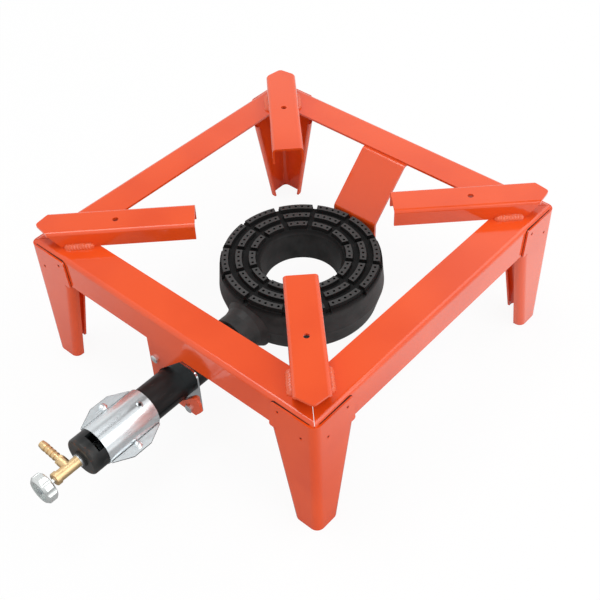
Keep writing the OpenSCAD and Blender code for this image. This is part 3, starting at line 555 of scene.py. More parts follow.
@dataclass(frozen=True)
class TubePaint:
    """Satin black paint on the smooth cast tube, with rust breaking through at the mouth.

    Attributes:
        mouth_y: the place of the mouth's front end.
        worn_in: how far the wear reaches back from there.
        colour: the paint.
        bare: the paint that is worn thin at the mouth.
        scuffed: the paint in long scuffs.
        rust: the rust.
        rust_mm: the size of the rust's patches.
        scuff_mm: the width of the scuffs.
        wave_mm: the size of the casting's waves, and wave_deep_mm their depth.
        grain_mm: the size of the grain, and grain_deep_mm its depth.
    """

    mouth_y: float
    worn_in: float = 12 * MM
    colour: Colour = (0.009, 0.011, 0.0115)
    bare: Colour = (0.042, 0.042, 0.040)
    scuffed: Colour = (0.055, 0.053, 0.050)
    rust: Colour = (0.20, 0.055, 0.018)
    rust_mm: float = 7.0
    scuff_mm: float = 3.0
    wave_mm: float = 14.0
    wave_deep_mm: float = 0.22
    grain_mm: float = 1.1
    grain_deep_mm: float = 0.035

    def build(self) -> bpy.types.Material:
        """Makes the material.

        Returns:
            The tube's paint, with scuffs along the tube, and rust at the mouth.
        """
        s = Surface("satin_black_tube")
        near_mouth = s.axis("Y").step(self.mouth_y + self.worn_in, self.mouth_y)
        broken = s.cloud(self.rust_mm, detail=4, rough=0.65).step(0.56, 0.70)
        lengthwise = s.place((1.0, 0.25, 1.0))
        scuffs = s.cloud(self.scuff_mm, rough=0.6, where=lengthwise).step(0.60, 0.78)
        base = s.blend(self.colour, self.bare, near_mouth * 0.8)
        base = s.blend(base, self.scuffed, scuffs * 0.5)
        base = s.blend(base, self.rust, near_mouth * broken * 0.9)
        s.vary(Base_Color=base, Roughness=s.cloud(self.wave_mm).between(0.26, 0.42))
        s.constant(IOR=1.38)
        waves = s.cloud(self.wave_mm, detail=2)
        s.relief((waves, self.wave_deep_mm), (s.cloud(self.grain_mm), self.grain_deep_mm))
        return s.material


@dataclass(frozen=True)
class Plated:
    """Bright plated metal: zinc on plates and fasteners, or polished die-cast metal.

    Attributes:
        name: the material's name.
        colour: the plating.
        tint: its slightly darker patches.
        rough: its roughness where a streak is smoothest.
        metal: how metallic it looks.
        streak: the stretch of the streaks along each axis.
        deep_mm: the depth of the streaks.
        patch_mm: the size of the darker patches.
        dent_mm: the size of slight dents, six times as deep as the streaks.
        streak_mm: the width of the streaks.
    """

    name: str = "bright_zinc"
    colour: Colour = (0.82, 0.86, 0.88)
    tint: Colour = (0.72, 0.77, 0.80)
    rough: float = 0.18
    metal: float = 0.9
    streak: Point = (1.0, 0.08, 1.0)
    deep_mm: float = 0.02
    patch_mm: float = 12.0
    dent_mm: float = 10.0
    streak_mm: float = 1.6

    @classmethod
    def mirror(cls) -> "Plated":
        """The smooth zinc of the keeper plate."""
        return cls("mirror_zinc", rough=0.04, metal=1.0)

    @classmethod
    def knob(cls) -> "Plated":
        """The polished die-cast metal of the knob."""
        return cls("polished_knob", (0.80, 0.83, 0.82), (0.72, 0.76, 0.75), rough=0.22, metal=0.7,
                   streak=(1.0, 1.0, 1.0), deep_mm=0.03)

    def build(self) -> bpy.types.Material:
        """Makes the material.

        Returns:
            The plating, with rolling streaks and a faint change of tint.
        """
        s = Surface(self.name)
        streaks = s.cloud(self.streak_mm, rough=0.6, where=s.place(self.streak))
        tone = s.blend(self.colour, self.tint, s.cloud(self.patch_mm, detail=2).step(0.35, 0.7))
        s.vary(Base_Color=tone, Roughness=streaks * 0.14 + self.rough)
        s.constant(Metallic=self.metal)
        s.relief((s.cloud(self.dent_mm, detail=2), 6 * self.deep_mm), (streaks, self.deep_mm))
        return s.material


@dataclass(frozen=True)
class RolledZinc:
    """Zinc on thin rolled sheet, with painted shade in the upper shell's pressed dimple and right below it.

    Attributes:
        rear_y: the place of the shells' rear end.
        dimple_x: the dimple's distance to the right of the tube's axis.
        dimple_in: its distance from the shells' rear end.
        dimple_r: its radius.
        colour: the plating.
        tint: its darker patches.
        dull: the dimple's grey.
        patch_mm: the width of the patches.
        streak_mm: the width of the streaks, and streak_deep_mm their depth.
        wave_mm: the size of the sheet's waves, and wave_deep_mm their depth.
    """

    rear_y: float
    dimple_x: float = 8.6 * MM
    dimple_in: float = 11 * MM
    dimple_r: float = 4.0 * MM
    colour: Colour = (0.80, 0.86, 0.885)
    tint: Colour = (0.66, 0.71, 0.74)
    # dull: the dimple's grey, a painted shade.
    dull: Colour = (0.30, 0.32, 0.33)
    patch_mm: float = 9.0
    streak_mm: float = 1.3
    streak_deep_mm: float = 0.025
    wave_mm: float = 12.0
    wave_deep_mm: float = 0.10

    def _dimple(self, s: Surface) -> Value:
        """Finds the pressed dimple.

        Args:
            s: the surface that has it.

        Returns:
            1 in the middle of the dimple and 0 outside it, at any height.
        """
        across = s.axis("X") - self.dimple_x
        along = s.axis("Y") - (self.rear_y - self.dimple_in)
        flat_r = 0.6 * self.dimple_r
        return (across * across + along * along).step(self.dimple_r ** 2, flat_r ** 2)

    def build(self) -> bpy.types.Material:
        """Makes the material.

        Returns:
            The sheet's zinc, with rolling streaks and patches along the tube.
        """
        s = Surface("rolled_zinc")
        streaks = s.cloud(self.streak_mm, rough=0.6, where=s.place((1.0, 0.05, 1.0)))
        patches = s.cloud(self.patch_mm, rough=0.6, where=s.place((1.0, 0.35, 1.0))).step(0.40, 0.72)
        base = s.blend(self.colour, self.tint, patches * 0.8)
        # the dimple is painted grey: painted shade
        s.vary(Base_Color=s.blend(base, self.dull, self._dimple(s) * 0.8),
               Roughness=streaks * 0.16 + patches * 0.10 + 0.10)
        s.constant(Metallic=0.72)
        s.relief((s.cloud(self.wave_mm, detail=2), self.wave_deep_mm), (streaks, self.streak_deep_mm))
        return s.material


@dataclass(frozen=True)
class Brass:
    """Turned brass with tool rings and light tarnish.

    Attributes:
        colour: the brass.
        tarnish: its darker patches.
        patch_mm: the size of the patches.
        ring_mm: the distance between tool rings, and ring_deep_mm their depth.
        grain_mm: the size of the grain, and grain_deep_mm its depth.
    """

    colour: Colour = (0.85, 0.62, 0.34)
    tarnish: Colour = (0.60, 0.41, 0.21)
    patch_mm: float = 6.0
    ring_mm: float = 0.5
    ring_deep_mm: float = 0.012
    grain_mm: float = 2.0
    grain_deep_mm: float = 0.02

    def build(self) -> bpy.types.Material:
        """Makes the material.

        Returns:
            The brass.
        """
        s = Surface("turned_brass")
        rings = s.cloud(self.ring_mm, detail=2, where=s.place((0.05, 1.0, 0.05)))
        tone = s.blend(self.colour, self.tarnish, s.cloud(self.patch_mm, detail=4).step(0.5, 0.8) * 0.6)
        s.vary(Base_Color=tone, Roughness=rings.between(0.33, 0.48))
        s.constant(Metallic=1.0)
        s.relief((rings, self.ring_deep_mm), (s.cloud(self.grain_mm), self.grain_deep_mm))
        return s.material


@dataclass(frozen=True)
class SoftBox:
    """One square soft light.

    Attributes:
        place: where it hangs, in metres from the ground under the middle of the frame.
        size: the length of its sides, in metres.
        watts: its power.
    """

    place: Point
    size: float
    watts: float


class Lamp(Enum):
    """The soft lights of the studio."""

    KEY = SoftBox((-0.6, -0.2, 2.5), 1.2, 14.5)
    FILL = SoftBox((1.9, 0.3, 1.6), 1.8, 15.5)
    BACK = SoftBox((0.8, 1.8, 1.9), 1.6, 8.0)


@dataclass(frozen=True)
class DimPatch:
    """A dimmer round patch of the surround, such as the space between two soft lights.

    Attributes:
        turn: its direction round the vertical, in degrees from +X.
        rise: its height above the horizon, in degrees.
        core: the angle from its middle, in degrees, within which it is fully dim.
        wide: the angle at which it ends.
        level: the light that it still gives.
    """

    turn: float
    rise: float
    core: float
    wide: float
    level: float


@dataclass(frozen=True)
class Surround:
    """The pale surround, which the camera sees as white.

    Attributes:
        ambient: the light that it gives.
        patches: its dimmer patches, one for the flat tops and one for the air shutter to mirror.
    """

    ambient: float = 0.85
    patches: tuple[DimPatch, ...] = (
        DimPatch(turn=143.0, rise=49.0, core=7.0, wide=18.5, level=0.38),
        DimPatch(turn=107.0, rise=69.0, core=12.0, wide=15.0, level=0.01),
    )

    def build(self) -> None:
        """Makes the world."""
        world = bpy.data.worlds.new("surround")
        bpy.context.scene.world = world
        world.use_nodes = True
        s = WorldTree(world)
        where = s.node("ShaderNodeTexCoord").outputs["Generated"]
        soft = s.background(self.ambient)
        for patch in self.patches:
            edge, core = math.cos(math.radians(patch.wide)), math.cos(math.radians(patch.core))
            inside = s.toward(where, patch.turn, patch.rise).step(edge, core)
            soft = s.either(soft, s.background(patch.level), inside)
        seen = s.either(soft, s.background(1.0), s.light_path("Is Camera Ray"))
        s.feed(s.output.inputs["Surface"], seen)


@dataclass(frozen=True)
class Sweep:
    """The pale floor, which looks white and keeps the shadow.

    Attributes:
        side: the length of its sides, in metres.
        colour: its paint.
        pale: the paint's slightly paler patches.
        patch_mm: the size of the patches.
        white: the share of plain white that the camera sees.
        bright: the share of plain white that glossy faces mirror at the rear and right.
        bright_from: X + Y, from the middle of the frame in metres, where that starts.
        bright_full: X + Y where it is full.
        dim: the light that glossy faces mirror at the front and left.
        dim_share: its share in what they mirror there.
        left_from: how far to the left of the middle, in metres, that share starts to fall.
        left_full: how far to the left it has fallen.
        left_less: the part of it that is gone there.
    """

    side: float = 6.0
    colour: Colour = (0.85, 0.85, 0.85)
    pale: Colour = (0.87, 0.87, 0.87)
    patch_mm: float = 300.0
    white: float = 0.92
    bright: float = 0.56
    bright_from: float = -0.02
    bright_full: float = 0.42
    dim: float = 0.22
    dim_share: float = 0.9
    left_from: float = 0.06
    left_full: float = 0.36
    left_less: float = 0.70

    def _material(self, centre_y: float) -> bpy.types.Material:
        """Makes the floor's material.

        Args:
            centre_y: the middle of the frame.

        Returns:
            The material.
        """
        s = Surface("white_sweep")
        s.vary(Base_Color=s.blend(self.colour, self.pale, s.cloud(self.patch_mm, detail=2)))
        s.constant(Roughness=0.9, Specular_IOR_Level=0.2)
        glow = s.node("ShaderNodeEmission", {}, {"Color": WHITE, "Strength": 1.0})
        shade = s.node("ShaderNodeEmission", {}, {"Color": WHITE, "Strength": self.dim})
        glossy = s.light_path("Is Glossy Ray")
        right = (s.axis("X") + s.axis("Y")).step(centre_y + self.bright_from, centre_y + self.bright_full)
        left = (0 - s.axis("X")).step(self.left_from, self.left_full)
        plain = s.light_path("Is Camera Ray") * self.white + glossy * right * self.bright
        dimmed = glossy * (1 - right) * (1 - left * self.left_less) * self.dim_share
        lit = s.either(s.shader.outputs[0], glow.outputs[0], plain)
        s.feed(s.output.inputs["Surface"], s.either(lit, shade.outputs[0], dimmed))
        return s.material

    def build(self, centre_y: float) -> None:
        """Lays the floor.

        Args:
            centre_y: the middle of the frame.
        """
        half = self.side / 2
        mesh = bpy.data.meshes.new("floor")
        corners = [(-half, -half, 0), (half, -half, 0), (half, half, 0), (-half, half, 0)]
        mesh.from_pydata(corners, [], [(0, 1, 2, 3)])
        mesh.materials.append(self._material(centre_y))
        floor = bpy.data.objects.new("floor", mesh)
        bpy.context.scene.collection.objects.link(floor)


@dataclass(frozen=True)
class Eye:
    """The camera, where the photograph was taken from.

    Attributes:
        place_mm: where it stands, in millimetres from the ground under the middle of the frame.
        look_down: how far it looks down, in degrees.
        look_left: how far it is turned to the left from +Y, in degrees.
        roll: how far it is tilted about its own axis, in degrees.
        lens_mm: the focal length.
        sensor_mm: the width of the sensor.
    """

    place_mm: Point = (581.13, -623.42, 879.21)
    look_down: float = 44.309
    look_left: float = 42.821
    roll: float = -2.4035
    lens_mm: float = 61.324
    sensor_mm: float = 36.0

    def build(self, centre_y: float) -> None:
        """Sets the camera up.

        Args:
            centre_y: the middle of the frame.
        """
        data = bpy.data.cameras.new("camera")
        data.sensor_width, data.lens = self.sensor_mm, self.lens_mm
        camera = bpy.data.objects.new("camera", data)
        bpy.context.scene.collection.objects.link(camera)
        turn = (Matrix.Rotation(math.radians(self.look_left), 4, "Z")
                @ Matrix.Rotation(math.radians(90 - self.look_down), 4, "X")
                @ Matrix.Rotation(math.radians(self.roll), 4, "Z"))
        place = Vector(self.place_mm) * MM + Vector((0, centre_y, 0))
        camera.matrix_world = Matrix.Translation(place) @ turn
        bpy.context.scene.camera = camera


@dataclass
class Studio:
    """The white sweep, the surround, the soft lights and the camera.

    Attributes:
        centre_y: the middle of the frame.
        aim_z: the height that the lights face, in metres.
        sweep: the floor.
        surround: the world.
        eye: the camera.
    """

    centre_y: float
    aim_z: float = 0.1
    sweep: Sweep = field(default_factory=Sweep)
    surround: Surround = field(default_factory=Surround)
    eye: Eye = field(default_factory=Eye)

    def build(self) -> None:
        """Makes the floor, the world, the lamps and the camera."""
        self.sweep.build(self.centre_y)
        self.surround.build()
        for lamp in Lamp:
            self._lamp(lamp)
        self.eye.build(self.centre_y)

    def _lamp(self, lamp: Lamp) -> None:
        """Adds one square soft light that faces the stand.

        Args:
            lamp: the light.
        """
        box = lamp.value
        data = bpy.data.lights.new(f"lamp_{lamp.name.lower()}", "AREA")
        data.shape, data.size, data.energy = "SQUARE", box.size, box.watts
        light = bpy.data.objects.new(data.name, data)
        bpy.context.scene.collection.objects.link(light)
        where = Vector(box.place) + Vector((0, self.centre_y, 0))
        aim = Vector((0, self.centre_y, self.aim_z)) - where
        light.matrix_world = Matrix.Translation(where) @ aim.to_track_quat("-Z", "Y").to_matrix().to_4x4()


@dataclass(frozen=True)
class Edge:
    """The rounding of a piece's sharp edges.

    Attributes:
        width_mm: its width.
        angle: the least angle between faces, in degrees, that counts as an edge.
        segments: the number of faces across it.
    """

    width_mm: float
    angle: float = 40.0
    segments: int = 2


class Assembly:
    """What the sub-assemblies share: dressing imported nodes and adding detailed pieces."""

    def __init__(self, nodes: dict[str, bpy.types.Object]) -> None:
        """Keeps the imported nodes.

        Args:
            nodes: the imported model's objects by name.
        """
        self.nodes = nodes

    def dress(self, names: Sequence[str], material: bpy.types.Material, edge: Edge) -> None:
        """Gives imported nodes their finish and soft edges.

        Args:
            names: the nodes.
            material: the finish.
            edge: the rounding of sharp edges.
        """
        for name in names:
            piece = self.nodes[name]
            piece.data.materials.clear()
            piece.data.materials.append(material)
            for polygon in piece.data.polygons:
                polygon.material_index = 0
            rounding = piece.modifiers.new("soft_edges", "BEVEL")
            rounding.width, rounding.segments = edge.width_mm * MM, edge.segments
            rounding.limit_method, rounding.angle_limit = "ANGLE", math.radians(edge.angle)
            rounding.harden_normals = True
            rounding.use_clamp_overlap = True
            log.info("dressed %s with %s", name, material.name)

    def add(self, name: str, mesh: bmesh.types.BMesh, material: bpy.types.Material, body: Body,
            slot: Slot) -> bpy.types.Object:
        """Adds one detailed piece, smoothly shaded.

        Args:
            name: the piece's name.
            mesh: its shape in the frame, in metres, which is freed.
            material: its finish.
            body: the body that it rides on.
            slot: the record's material slot; not used.

        Returns:
            The new object.
        """
        data = bpy.data.meshes.new(name)
        bmesh.ops.recalc_face_normals(mesh, faces=mesh.faces)
        mesh.normal_update()
        mesh.to_mesh(data)
        mesh.free()
        data.materials.append(material)
        for polygon in data.polygons:
            polygon.use_smooth = True
        piece = bpy.data.objects.new(name, data)
        bpy.context.scene.collection.objects.link(piece)
        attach(piece, body)
        log.info("built %s: %d faces", name, len(data.polygons))
        return piece


@dataclass
class WeldBead:
    """One painted fillet weld: overlapping ripples that fade out at both ends.

    Attributes:
        length: its length.
        leg: how far it reaches over the rail, and up the support.
        ripple: the distance between ripples.
        bow: how far a ripple's middle runs ahead of its ends, as a share of the leg.
        crest: the power that sharpens the valleys between ripples.
        thin: its thickness in a valley, as a share of the leg.
        ripple_high: what a ripple adds to that.
        lump_high: what an uneven place adds or takes.
        lump_scale: how fast the uneven places follow each other along it.
        lump_round: how fast they do so across it.
        lump_seed: how far apart two beads' uneven places lie in the noise.
        along: the number of faces along it.
        around: the number of faces across it.
    """

    length: float = 33 * MM
    leg: float = 5.7 * MM
    ripple: float = 3.1 * MM
    bow: float = 0.35
    crest: float = 0.7
    thin: float = 0.80
    ripple_high: float = 0.13
    lump_high: float = 0.10
    lump_scale: float = 140.0
    lump_round: float = 1.2
    lump_seed: float = 3.7
    along: int = 72
    around: int = 10

    def radius(self, x: float, angle: float, seed: int) -> float:
        """The bead's thickness at one place.

        Args:
            x: the distance along the bead.
            angle: the direction from its root, from 0 on the rail to a quarter turn on the support.
            seed: the number that its unevenness follows.

        Returns:
            The distance from the root to the bead's surface.
        """
        near_end = min(x, self.length - x) / self.leg
        swell = math.sqrt(max(0.0, 1 - max(0.0, 1 - near_end) ** 2))
        crescent = x - self.bow * self.leg * math.sin(2 * angle)
        wave = abs(math.sin(math.pi * crescent / self.ripple)) ** self.crest
        uneven = noise.noise(Vector((x * self.lump_scale, angle * self.lump_round, seed * self.lump_seed)))
        return self.leg * swell * (self.thin + self.ripple_high * wave + self.lump_high * uneven)

    def grow(self, mesh: bmesh.types.BMesh, place: Matrix, seed: int) -> None:
        """Adds the bead to a mesh.

        Args:
            mesh: the mesh that takes it.
            place: where its start is, with X along the bead, Y away from the wall and Z up.
            seed: the number that its unevenness follows.
        """
        rows = []
        for i in range(self.along + 1):
            x = i / self.along * self.length
            row = []
            for j in range(self.around + 1):
                angle = math.pi / 2 * j / self.around
                radius = self.radius(x, angle, seed)
                spot = Vector((x, radius * math.cos(angle), radius * math.sin(angle)))
                row.append(mesh.verts.new(place @ spot))
            rows.append(row)
        for first, second in zip(rows, rows[1:]):
            for j in range(self.around):
                mesh.faces.new((first[j], second[j], second[j + 1], first[j + 1]))


@dataclass
class Slit:
    """A thin round line along a path in a plane, for painted shade in a gap between sheets.

    Attributes:
        sides: the number of faces round it.
    """

    sides: int = 8

    def grow(self, mesh: bmesh.types.BMesh, place: Matrix, points: list[Point]) -> None:
        """Adds the line to a mesh.

        Args:
            mesh: the mesh that takes it.
            place: where the path's plane is, with X and Z in it and Y across it.
            points: for each point X, Z and the line's radius.
        """
        rows = []
        for i, (x, z, radius) in enumerate(points):
            before, after = points[max(i - 1, 0)], points[min(i + 1, len(points) - 1)]
            along = Vector((after[0] - before[0], 0, after[1] - before[1])).normalized()
            across = Vector((-along.z, 0, along.x))
            row = []
            for k in range(self.sides):
                turn = 2 * math.pi * k / self.sides
                rim = across * (radius * math.cos(turn)) + Vector((0, radius * math.sin(turn), 0))
                row.append(mesh.verts.new(place @ (Vector((x, 0, z)) + rim)))
            rows.append(row)
        for first, second in zip(rows, rows[1:]):
            for k in range(self.sides):
                following = (k + 1) % self.sides
                mesh.faces.new((first[k], second[k], second[following], first[following]))
        mesh.faces.new(rows[0])
        mesh.faces.new(list(reversed(rows[-1])))


@dataclass
class SeamLine:
    """A line of painted shade in the slit between a leg's plate and the rail behind it, along the plate's
    upper edge.

    Attributes:
        fold: the distance from the leg's corner at which it starts.
        top_w: the width of the plate at its top.
        rail_w: its width at the rail's lower edge.
        corner_r: the radius of the plate's upper corner.
        drop: how far the plate's top is below the rail's.
        rail_h: the height of the rail.
        thin: the line's radius at its start and down the side.
        thick: its radius where it is widest, before the corner.
        top_steps: the number of stretches along the top.
        corner_steps: the number round the corner.
        side_steps: the number down the side.
        slit: the line itself.
    """

    fold: float = 9 * MM
    top_w: float = 55 * MM
    rail_w: float = 57.5 * MM
    corner_r: float = 4 * MM
    drop: float = 3.5 * MM
    rail_h: float = 37 * MM
    thin: float = 0.40 * MM
    thick: float = 0.85 * MM
    top_steps: int = 12
    corner_steps: int = 6
    side_steps: int = 8
    slit: Slit = field(default_factory=Slit)

    def path(self, rail_top: float) -> list[Point]:
        """Points along the plate's edge.

        Args:
            rail_top: the height of the rails' top.

        Returns:
            For each point the distance from the leg's corner, the height, and the line's radius.
        """
        top = rail_top - self.drop
        bend_x, side_z = self.top_w - self.corner_r, top - self.corner_r
        points = []
        for i in range(self.top_steps + 1):
            share = i / self.top_steps
            points.append((mix(self.fold, bend_x, share), top, mix(self.thin, self.thick, share ** 2)))
        for i in range(1, self.corner_steps + 1):
            share = i / self.corner_steps
            turn = math.pi / 2 * share
            x, z = bend_x + self.corner_r * math.sin(turn), side_z + self.corner_r * math.cos(turn)
            points.append((x, z, mix(self.thick, self.thin, share)))
        for i in range(1, self.side_steps + 1):
            share = i / self.side_steps
            x, z = mix(self.top_w, self.rail_w, share), mix(side_z, rail_top - self.rail_h, share)
            points.append((x, z, self.thin))
        return points

    def grow(self, mesh: bmesh.types.BMesh, place: Matrix, rail_top: float) -> None:
        """Adds the line to a mesh.

        Args:
            mesh: the mesh that takes it.
            place: where the leg's corner is, with X along the rail, Y inwards and Z up.
            rail_top: the height of the rails' top.
        """
        self.slit.grow(mesh, place, self.path(rail_top))


@dataclass
class SpotMark:
    """A small disc of painted shade in the middle of a spot weld's dimple.

    Attributes:
        radius: the disc's radius.
        depth: how far inside the leg's face it lies.
        places: for each mark its distances from the leg's corner and down from the rails' top.
        sides: the number of its corners.
    """

    radius: float = 1.0 * MM
    depth: float = 0.30 * MM
    places: tuple[tuple[float, float], ...] = ((46 * MM, 12 * MM), (18 * MM, 28 * MM))
    sides: int = 16

    def grow(self, mesh: bmesh.types.BMesh, place: Matrix, rail_top: float) -> None:
        """Adds one leg face's marks to a mesh.

        Args:
            mesh: the mesh that takes them.
            place: where the leg's corner is, with X along the rail, Y inwards and Z up.
            rail_top: the height of the rails' top.
        """
        for along, drop in self.places:
            ring = []
            for k in range(self.sides):
                turn = 2 * math.pi * k / self.sides
                x, z = along + self.radius * math.cos(turn), rail_top - drop + self.radius * math.sin(turn)
                ring.append(mesh.verts.new(place @ Vector((x, self.depth, z))))
            # a dark disc of painted shade in the dimple
            mesh.faces.new(ring)


@dataclass
class Stand:
    """The enamelled frame, legs, pot supports, strap and bracket tab.

    Attributes:
        enamel: the finish of the sheet.
        bead_highlight_enamel: the finish of the weld beads, paler as a painted highlight.
        shade: the painted shade of slits and pits.
        centre_y: the middle of the frame.
        rail_z: the height of the rails' top.
        half: half of the frame's width, over the rails.
        sheet: the thickness of the sheet.
        support_half: half of a support's width.
        bead_from: the distance from the middle of the frame at which the weld beads start.
        edge: the rounding of the sheet's edges.
        bead: one weld bead.
        seam: the line of painted shade in the slit along one leg plate.
        mark: the painted shade in the pits of one leg plate.
    """

    enamel: bpy.types.Material
    bead_highlight_enamel: bpy.types.Material
    shade: bpy.types.Material
    centre_y: float
    rail_z: float
    half: float = 200 * MM
    sheet: float = 2.5 * MM
    support_half: float = 18 * MM
    bead_from: float = 214.04 * MM
    edge: Edge = Edge(0.5, 32.0)
    bead: WeldBead = field(default_factory=WeldBead)
    seam: SeamLine = field(default_factory=SeamLine)
    mark: SpotMark = field(default_factory=SpotMark)

    def _beads(self, kit: Assembly) -> None:
        """Lays a weld bead along both sides of each support.

        Args:
            kit: the shared tools.
        """
        mesh = bmesh.new()
        middle = Matrix.Translation((0, self.centre_y, self.rail_z))
        start = Matrix.Translation((self.bead_from, self.support_half, 0))
        for support in range(4):
            turn = Matrix.Rotation(math.radians(45 + 90 * support), 4, "Z")
            for number, side in enumerate((1, -1), start=2 * support):
                flip = Matrix.Scale(side, 4, (0, 1, 0))
                self.bead.grow(mesh, middle @ turn @ flip @ start, number)
        piece = kit.add("weld_seams", mesh, self.bead_highlight_enamel, Body.STAND, Slot.STAND_PAINT)
        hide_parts("weld_beads")

    def _seams(self, kit: Assembly) -> None:
        """Draws painted shade in the slits round the legs' plates and in the pits of their spot welds.

        Args:
            kit: the shared tools.
        """
        mesh = bmesh.new()
        middle = Matrix.Translation((0, self.centre_y, 0))
        behind = Matrix.Translation((-self.half - self.sheet, -self.half, 0))
        face = Matrix.Translation((-self.half - self.sheet, -self.half - self.sheet, 0))
        swap = Matrix(((0, 1, 0, 0), (1, 0, 0, 0), (0, 0, 1, 0), (0, 0, 0, 1)))
        for quarter in range(4):
            turn = middle @ Matrix.Rotation(math.radians(90 * quarter), 4, "Z")
            for side in (turn, turn @ swap):
                self.seam.grow(mesh, side @ behind, self.rail_z)
                self.mark.grow(mesh, side @ face, self.rail_z)
        # lines and discs of painted shade along the legs' plates and in their pits
        kit.add("leg_slit_shade", mesh, self.shade, Body.STAND, Slot.STAND_PAINT)

    def build(self, kit: Assembly) -> None:
        """Dresses the stand's nodes, and adds the weld beads and the painted shade in the slits and pits.

        Args:
            kit: the shared tools.
        """
        corners = ("front_left", "front_right", "rear_left", "rear_right")
        names = [f"rail_{side}" for side in ("front", "rear", "left", "right")]
        names += [f"{kind}_{corner}" for kind in ("leg", "support") for corner in corners]
        kit.dress([*names, "rear_strap", "venturi_tab"], self.enamel, self.edge)
        self._beads(kit)
        self._seams(kit)


@dataclass
class RingBurner:
    """The cast ring burner.

    Attributes:
        iron: its finish.
        edge: the rounding of its edges.
    """

    iron: bpy.types.Material
    edge: Edge = Edge(0.7)

    def build(self, kit: Assembly) -> None:
        """Dresses the burner."""
        kit.dress(["burner"], self.iron, self.edge)


@dataclass
class Venturi:
    """The venturi tube, its keeper plate and the bolts.

    Attributes:
        paint: the tube's finish.
        zinc: the fasteners' finish.
        plate: the keeper plate's finish.
        tube_edge: the rounding of the tube's edges.
        plate_edge: that of the keeper plate's.
        bolt_edge: that of the fasteners'.
    """

    paint: bpy.types.Material
    zinc: bpy.types.Material
    plate: bpy.types.Material
    tube_edge: Edge = Edge(0.4)
    plate_edge: Edge = Edge(0.3, 32.0)
    bolt_edge: Edge = Edge(0.25)

    def build(self, kit: Assembly) -> None:
        """Dresses the venturi and its bracket.

        Args:
            kit: the shared tools.
        """
        kit.dress(["venturi"], self.paint, self.tube_edge)
        kit.dress(["keeper_plate"], self.plate, self.plate_edge)
        bolts = ["keeper_bolts", "keeper_nuts", "strap_bolt", "strap_washer"]
        kit.dress(bolts, self.zinc, self.bolt_edge)


@dataclass
class WingLine:
    """Lines of painted shade in the slit between the two sheets of a wing and along its fold.

    Attributes:
        tilt: the angle that the wings are turned round the tube, in degrees.
        shell_out: the shells' outer radius.
        low: the distance from the axis at which the wing's outline starts.
        tip: the distance of its outer edge.
        length: the length of the shells.
        flat: the length of the wing's outer edge.
        sheet: the thickness of the sheet.
        thick: the radius of the line round the outline.
        fold: the radius of the line along the fold.
        slit: the line itself.
    """

    tilt: float = 23.0
    shell_out: float = 22.1 * MM
    low: float = 23.5 * MM
    tip: float = 33.1 * MM
    length: float = 66 * MM
    flat: float = 22.4 * MM
    sheet: float = 1.0 * MM
    thick: float = 0.42 * MM
    fold: float = 0.32 * MM
    slit: Slit = field(default_factory=Slit)

    def grow(self, mesh: bmesh.types.BMesh, front: Vector) -> None:
        """Adds the lines of both wings to a mesh.

        Args:
            mesh: the mesh that takes them.
            front: the point of the tube's axis at the shells' front end, from which +Y runs along it.
        """
        corner = (self.length - self.flat) / 2
        start, end = self.sheet, self.length - self.sheet
        outline = [(self.low, start, self.thick), (self.tip, corner, self.thick),
                   (self.tip, corner + self.flat, self.thick), (self.low, end, self.thick)]
        crease_x = self.shell_out + self.fold
        crease = [(crease_x, start, self.fold), (crease_x, end, self.fold)]
        cos, sin = math.cos(math.radians(self.tilt)), math.sin(math.radians(self.tilt))
        for side in (1, -1):
            for points, above in ((outline, 0.0), (crease, self.sheet), (crease, -self.sheet)):
                place = Matrix(((side * cos, sin, 0, front.x + above * sin), (0, 0, 1, front.y),
                                (-side * sin, cos, 0, front.z + above * cos), (0, 0, 0, 1)))
                self.slit.grow(mesh, place, points)


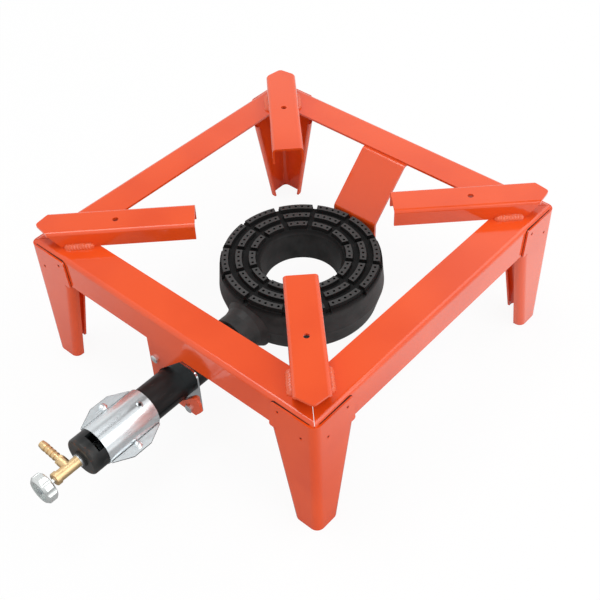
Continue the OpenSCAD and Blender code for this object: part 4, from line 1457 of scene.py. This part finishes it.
@dataclass
class AirShutter:
    """The two half shells that slide on the mouth.

    Attributes:
        shell: the shells' finish.
        zinc: the fasteners' finish.
        shade: the painted shade of slits and folds.
        front: the point of the tube's axis at the shells' front end.
        shell_edge: the rounding of the shells' edges.
        bolt_edge: that of the fasteners'.
        line: the lines of the wings.
    """

    shell: bpy.types.Material
    zinc: bpy.types.Material
    shade: bpy.types.Material
    front: Vector
    shell_edge: Edge = Edge(0.15)
    bolt_edge: Edge = Edge(0.2)
    line: WingLine = field(default_factory=WingLine)

    def build(self, kit: Assembly) -> None:
        """Dresses the shutter, and adds the lines of painted shade along its wings.

        Args:
            kit: the shared tools.
        """
        kit.dress(["shutter_upper", "shutter_lower"], self.shell, self.shell_edge)
        kit.dress(["shutter_bolts", "shutter_nuts"], self.zinc, self.bolt_edge)
        mesh = bmesh.new()
        self.line.grow(mesh, self.front)
        # lines of painted shade round the wings and along their folds
        kit.add("wing_slit_shade", mesh, self.shade, Body.AIR_SHUTTER, Slot.ZINC_SHEET)


@dataclass
class Tap:
    """The needle tap with its jet, hose tail and knob.

    Attributes:
        brass: the finish of the turned pieces.
        zinc: the finish of the washer, the spindle and the knob's screw.
        metal: the knob's finish.
        brass_edge: the rounding of the turned pieces' edges.
        washer_edge: that of the washer's.
        spindle_edge: that of the spindle's and the screw's.
        knob_edge: that of the knob's.
    """

    brass: bpy.types.Material
    zinc: bpy.types.Material
    metal: bpy.types.Material
    brass_edge: Edge = Edge(0.25)
    washer_edge: Edge = Edge(0.2)
    spindle_edge: Edge = Edge(0.15)
    knob_edge: Edge = Edge(0.6, 30.0)

    def build(self, kit: Assembly) -> None:
        """Dresses the tap.

        Args:
            kit: the shared tools.
        """
        kit.dress(["jet", "tap_body", "hose_tail", "gland_nut"], self.brass, self.brass_edge)
        kit.dress(["tap_washer"], self.zinc, self.washer_edge)
        kit.dress(["spindle", "knob_screw"], self.zinc, self.spindle_edge)
        kit.dress(["knob"], self.metal, self.knob_edge)


def main() -> None:
    """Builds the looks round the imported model."""
    logging.basicConfig(level=logging.INFO, format="%(message)s")
    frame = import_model()
    bpy.context.scene.view_settings.view_transform = "Standard"
    front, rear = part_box("rail_front"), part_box("rail_rear")
    centre_y, rail_z = (front[0].y + rear[1].y) / 2, front[1].z
    tube, shells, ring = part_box("venturi"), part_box("shutter_upper"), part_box("burner")
    shells_front = Vector((0, shells[0].y, (tube[0].z + tube[1].z) / 2))
    Studio(centre_y).build()
    kit = Assembly(frame["nodes"])
    zinc = Plated().build()
    Stand(Enamel().build(), Enamel.thin().build(), SeamShade().build(), centre_y, rail_z).build(kit)
    RingBurner(CastIron(ring[1].z).build()).build(kit)
    Venturi(TubePaint(tube[0].y).build(), zinc, Plated.mirror().build()).build(kit)
    AirShutter(RolledZinc(shells[1].y).build(), zinc, SeamShade.on_zinc().build(), shells_front).build(kit)
    Tap(Brass().build(), zinc, Plated.knob().build()).build(kit)


if __name__ == "__main__":
    main()
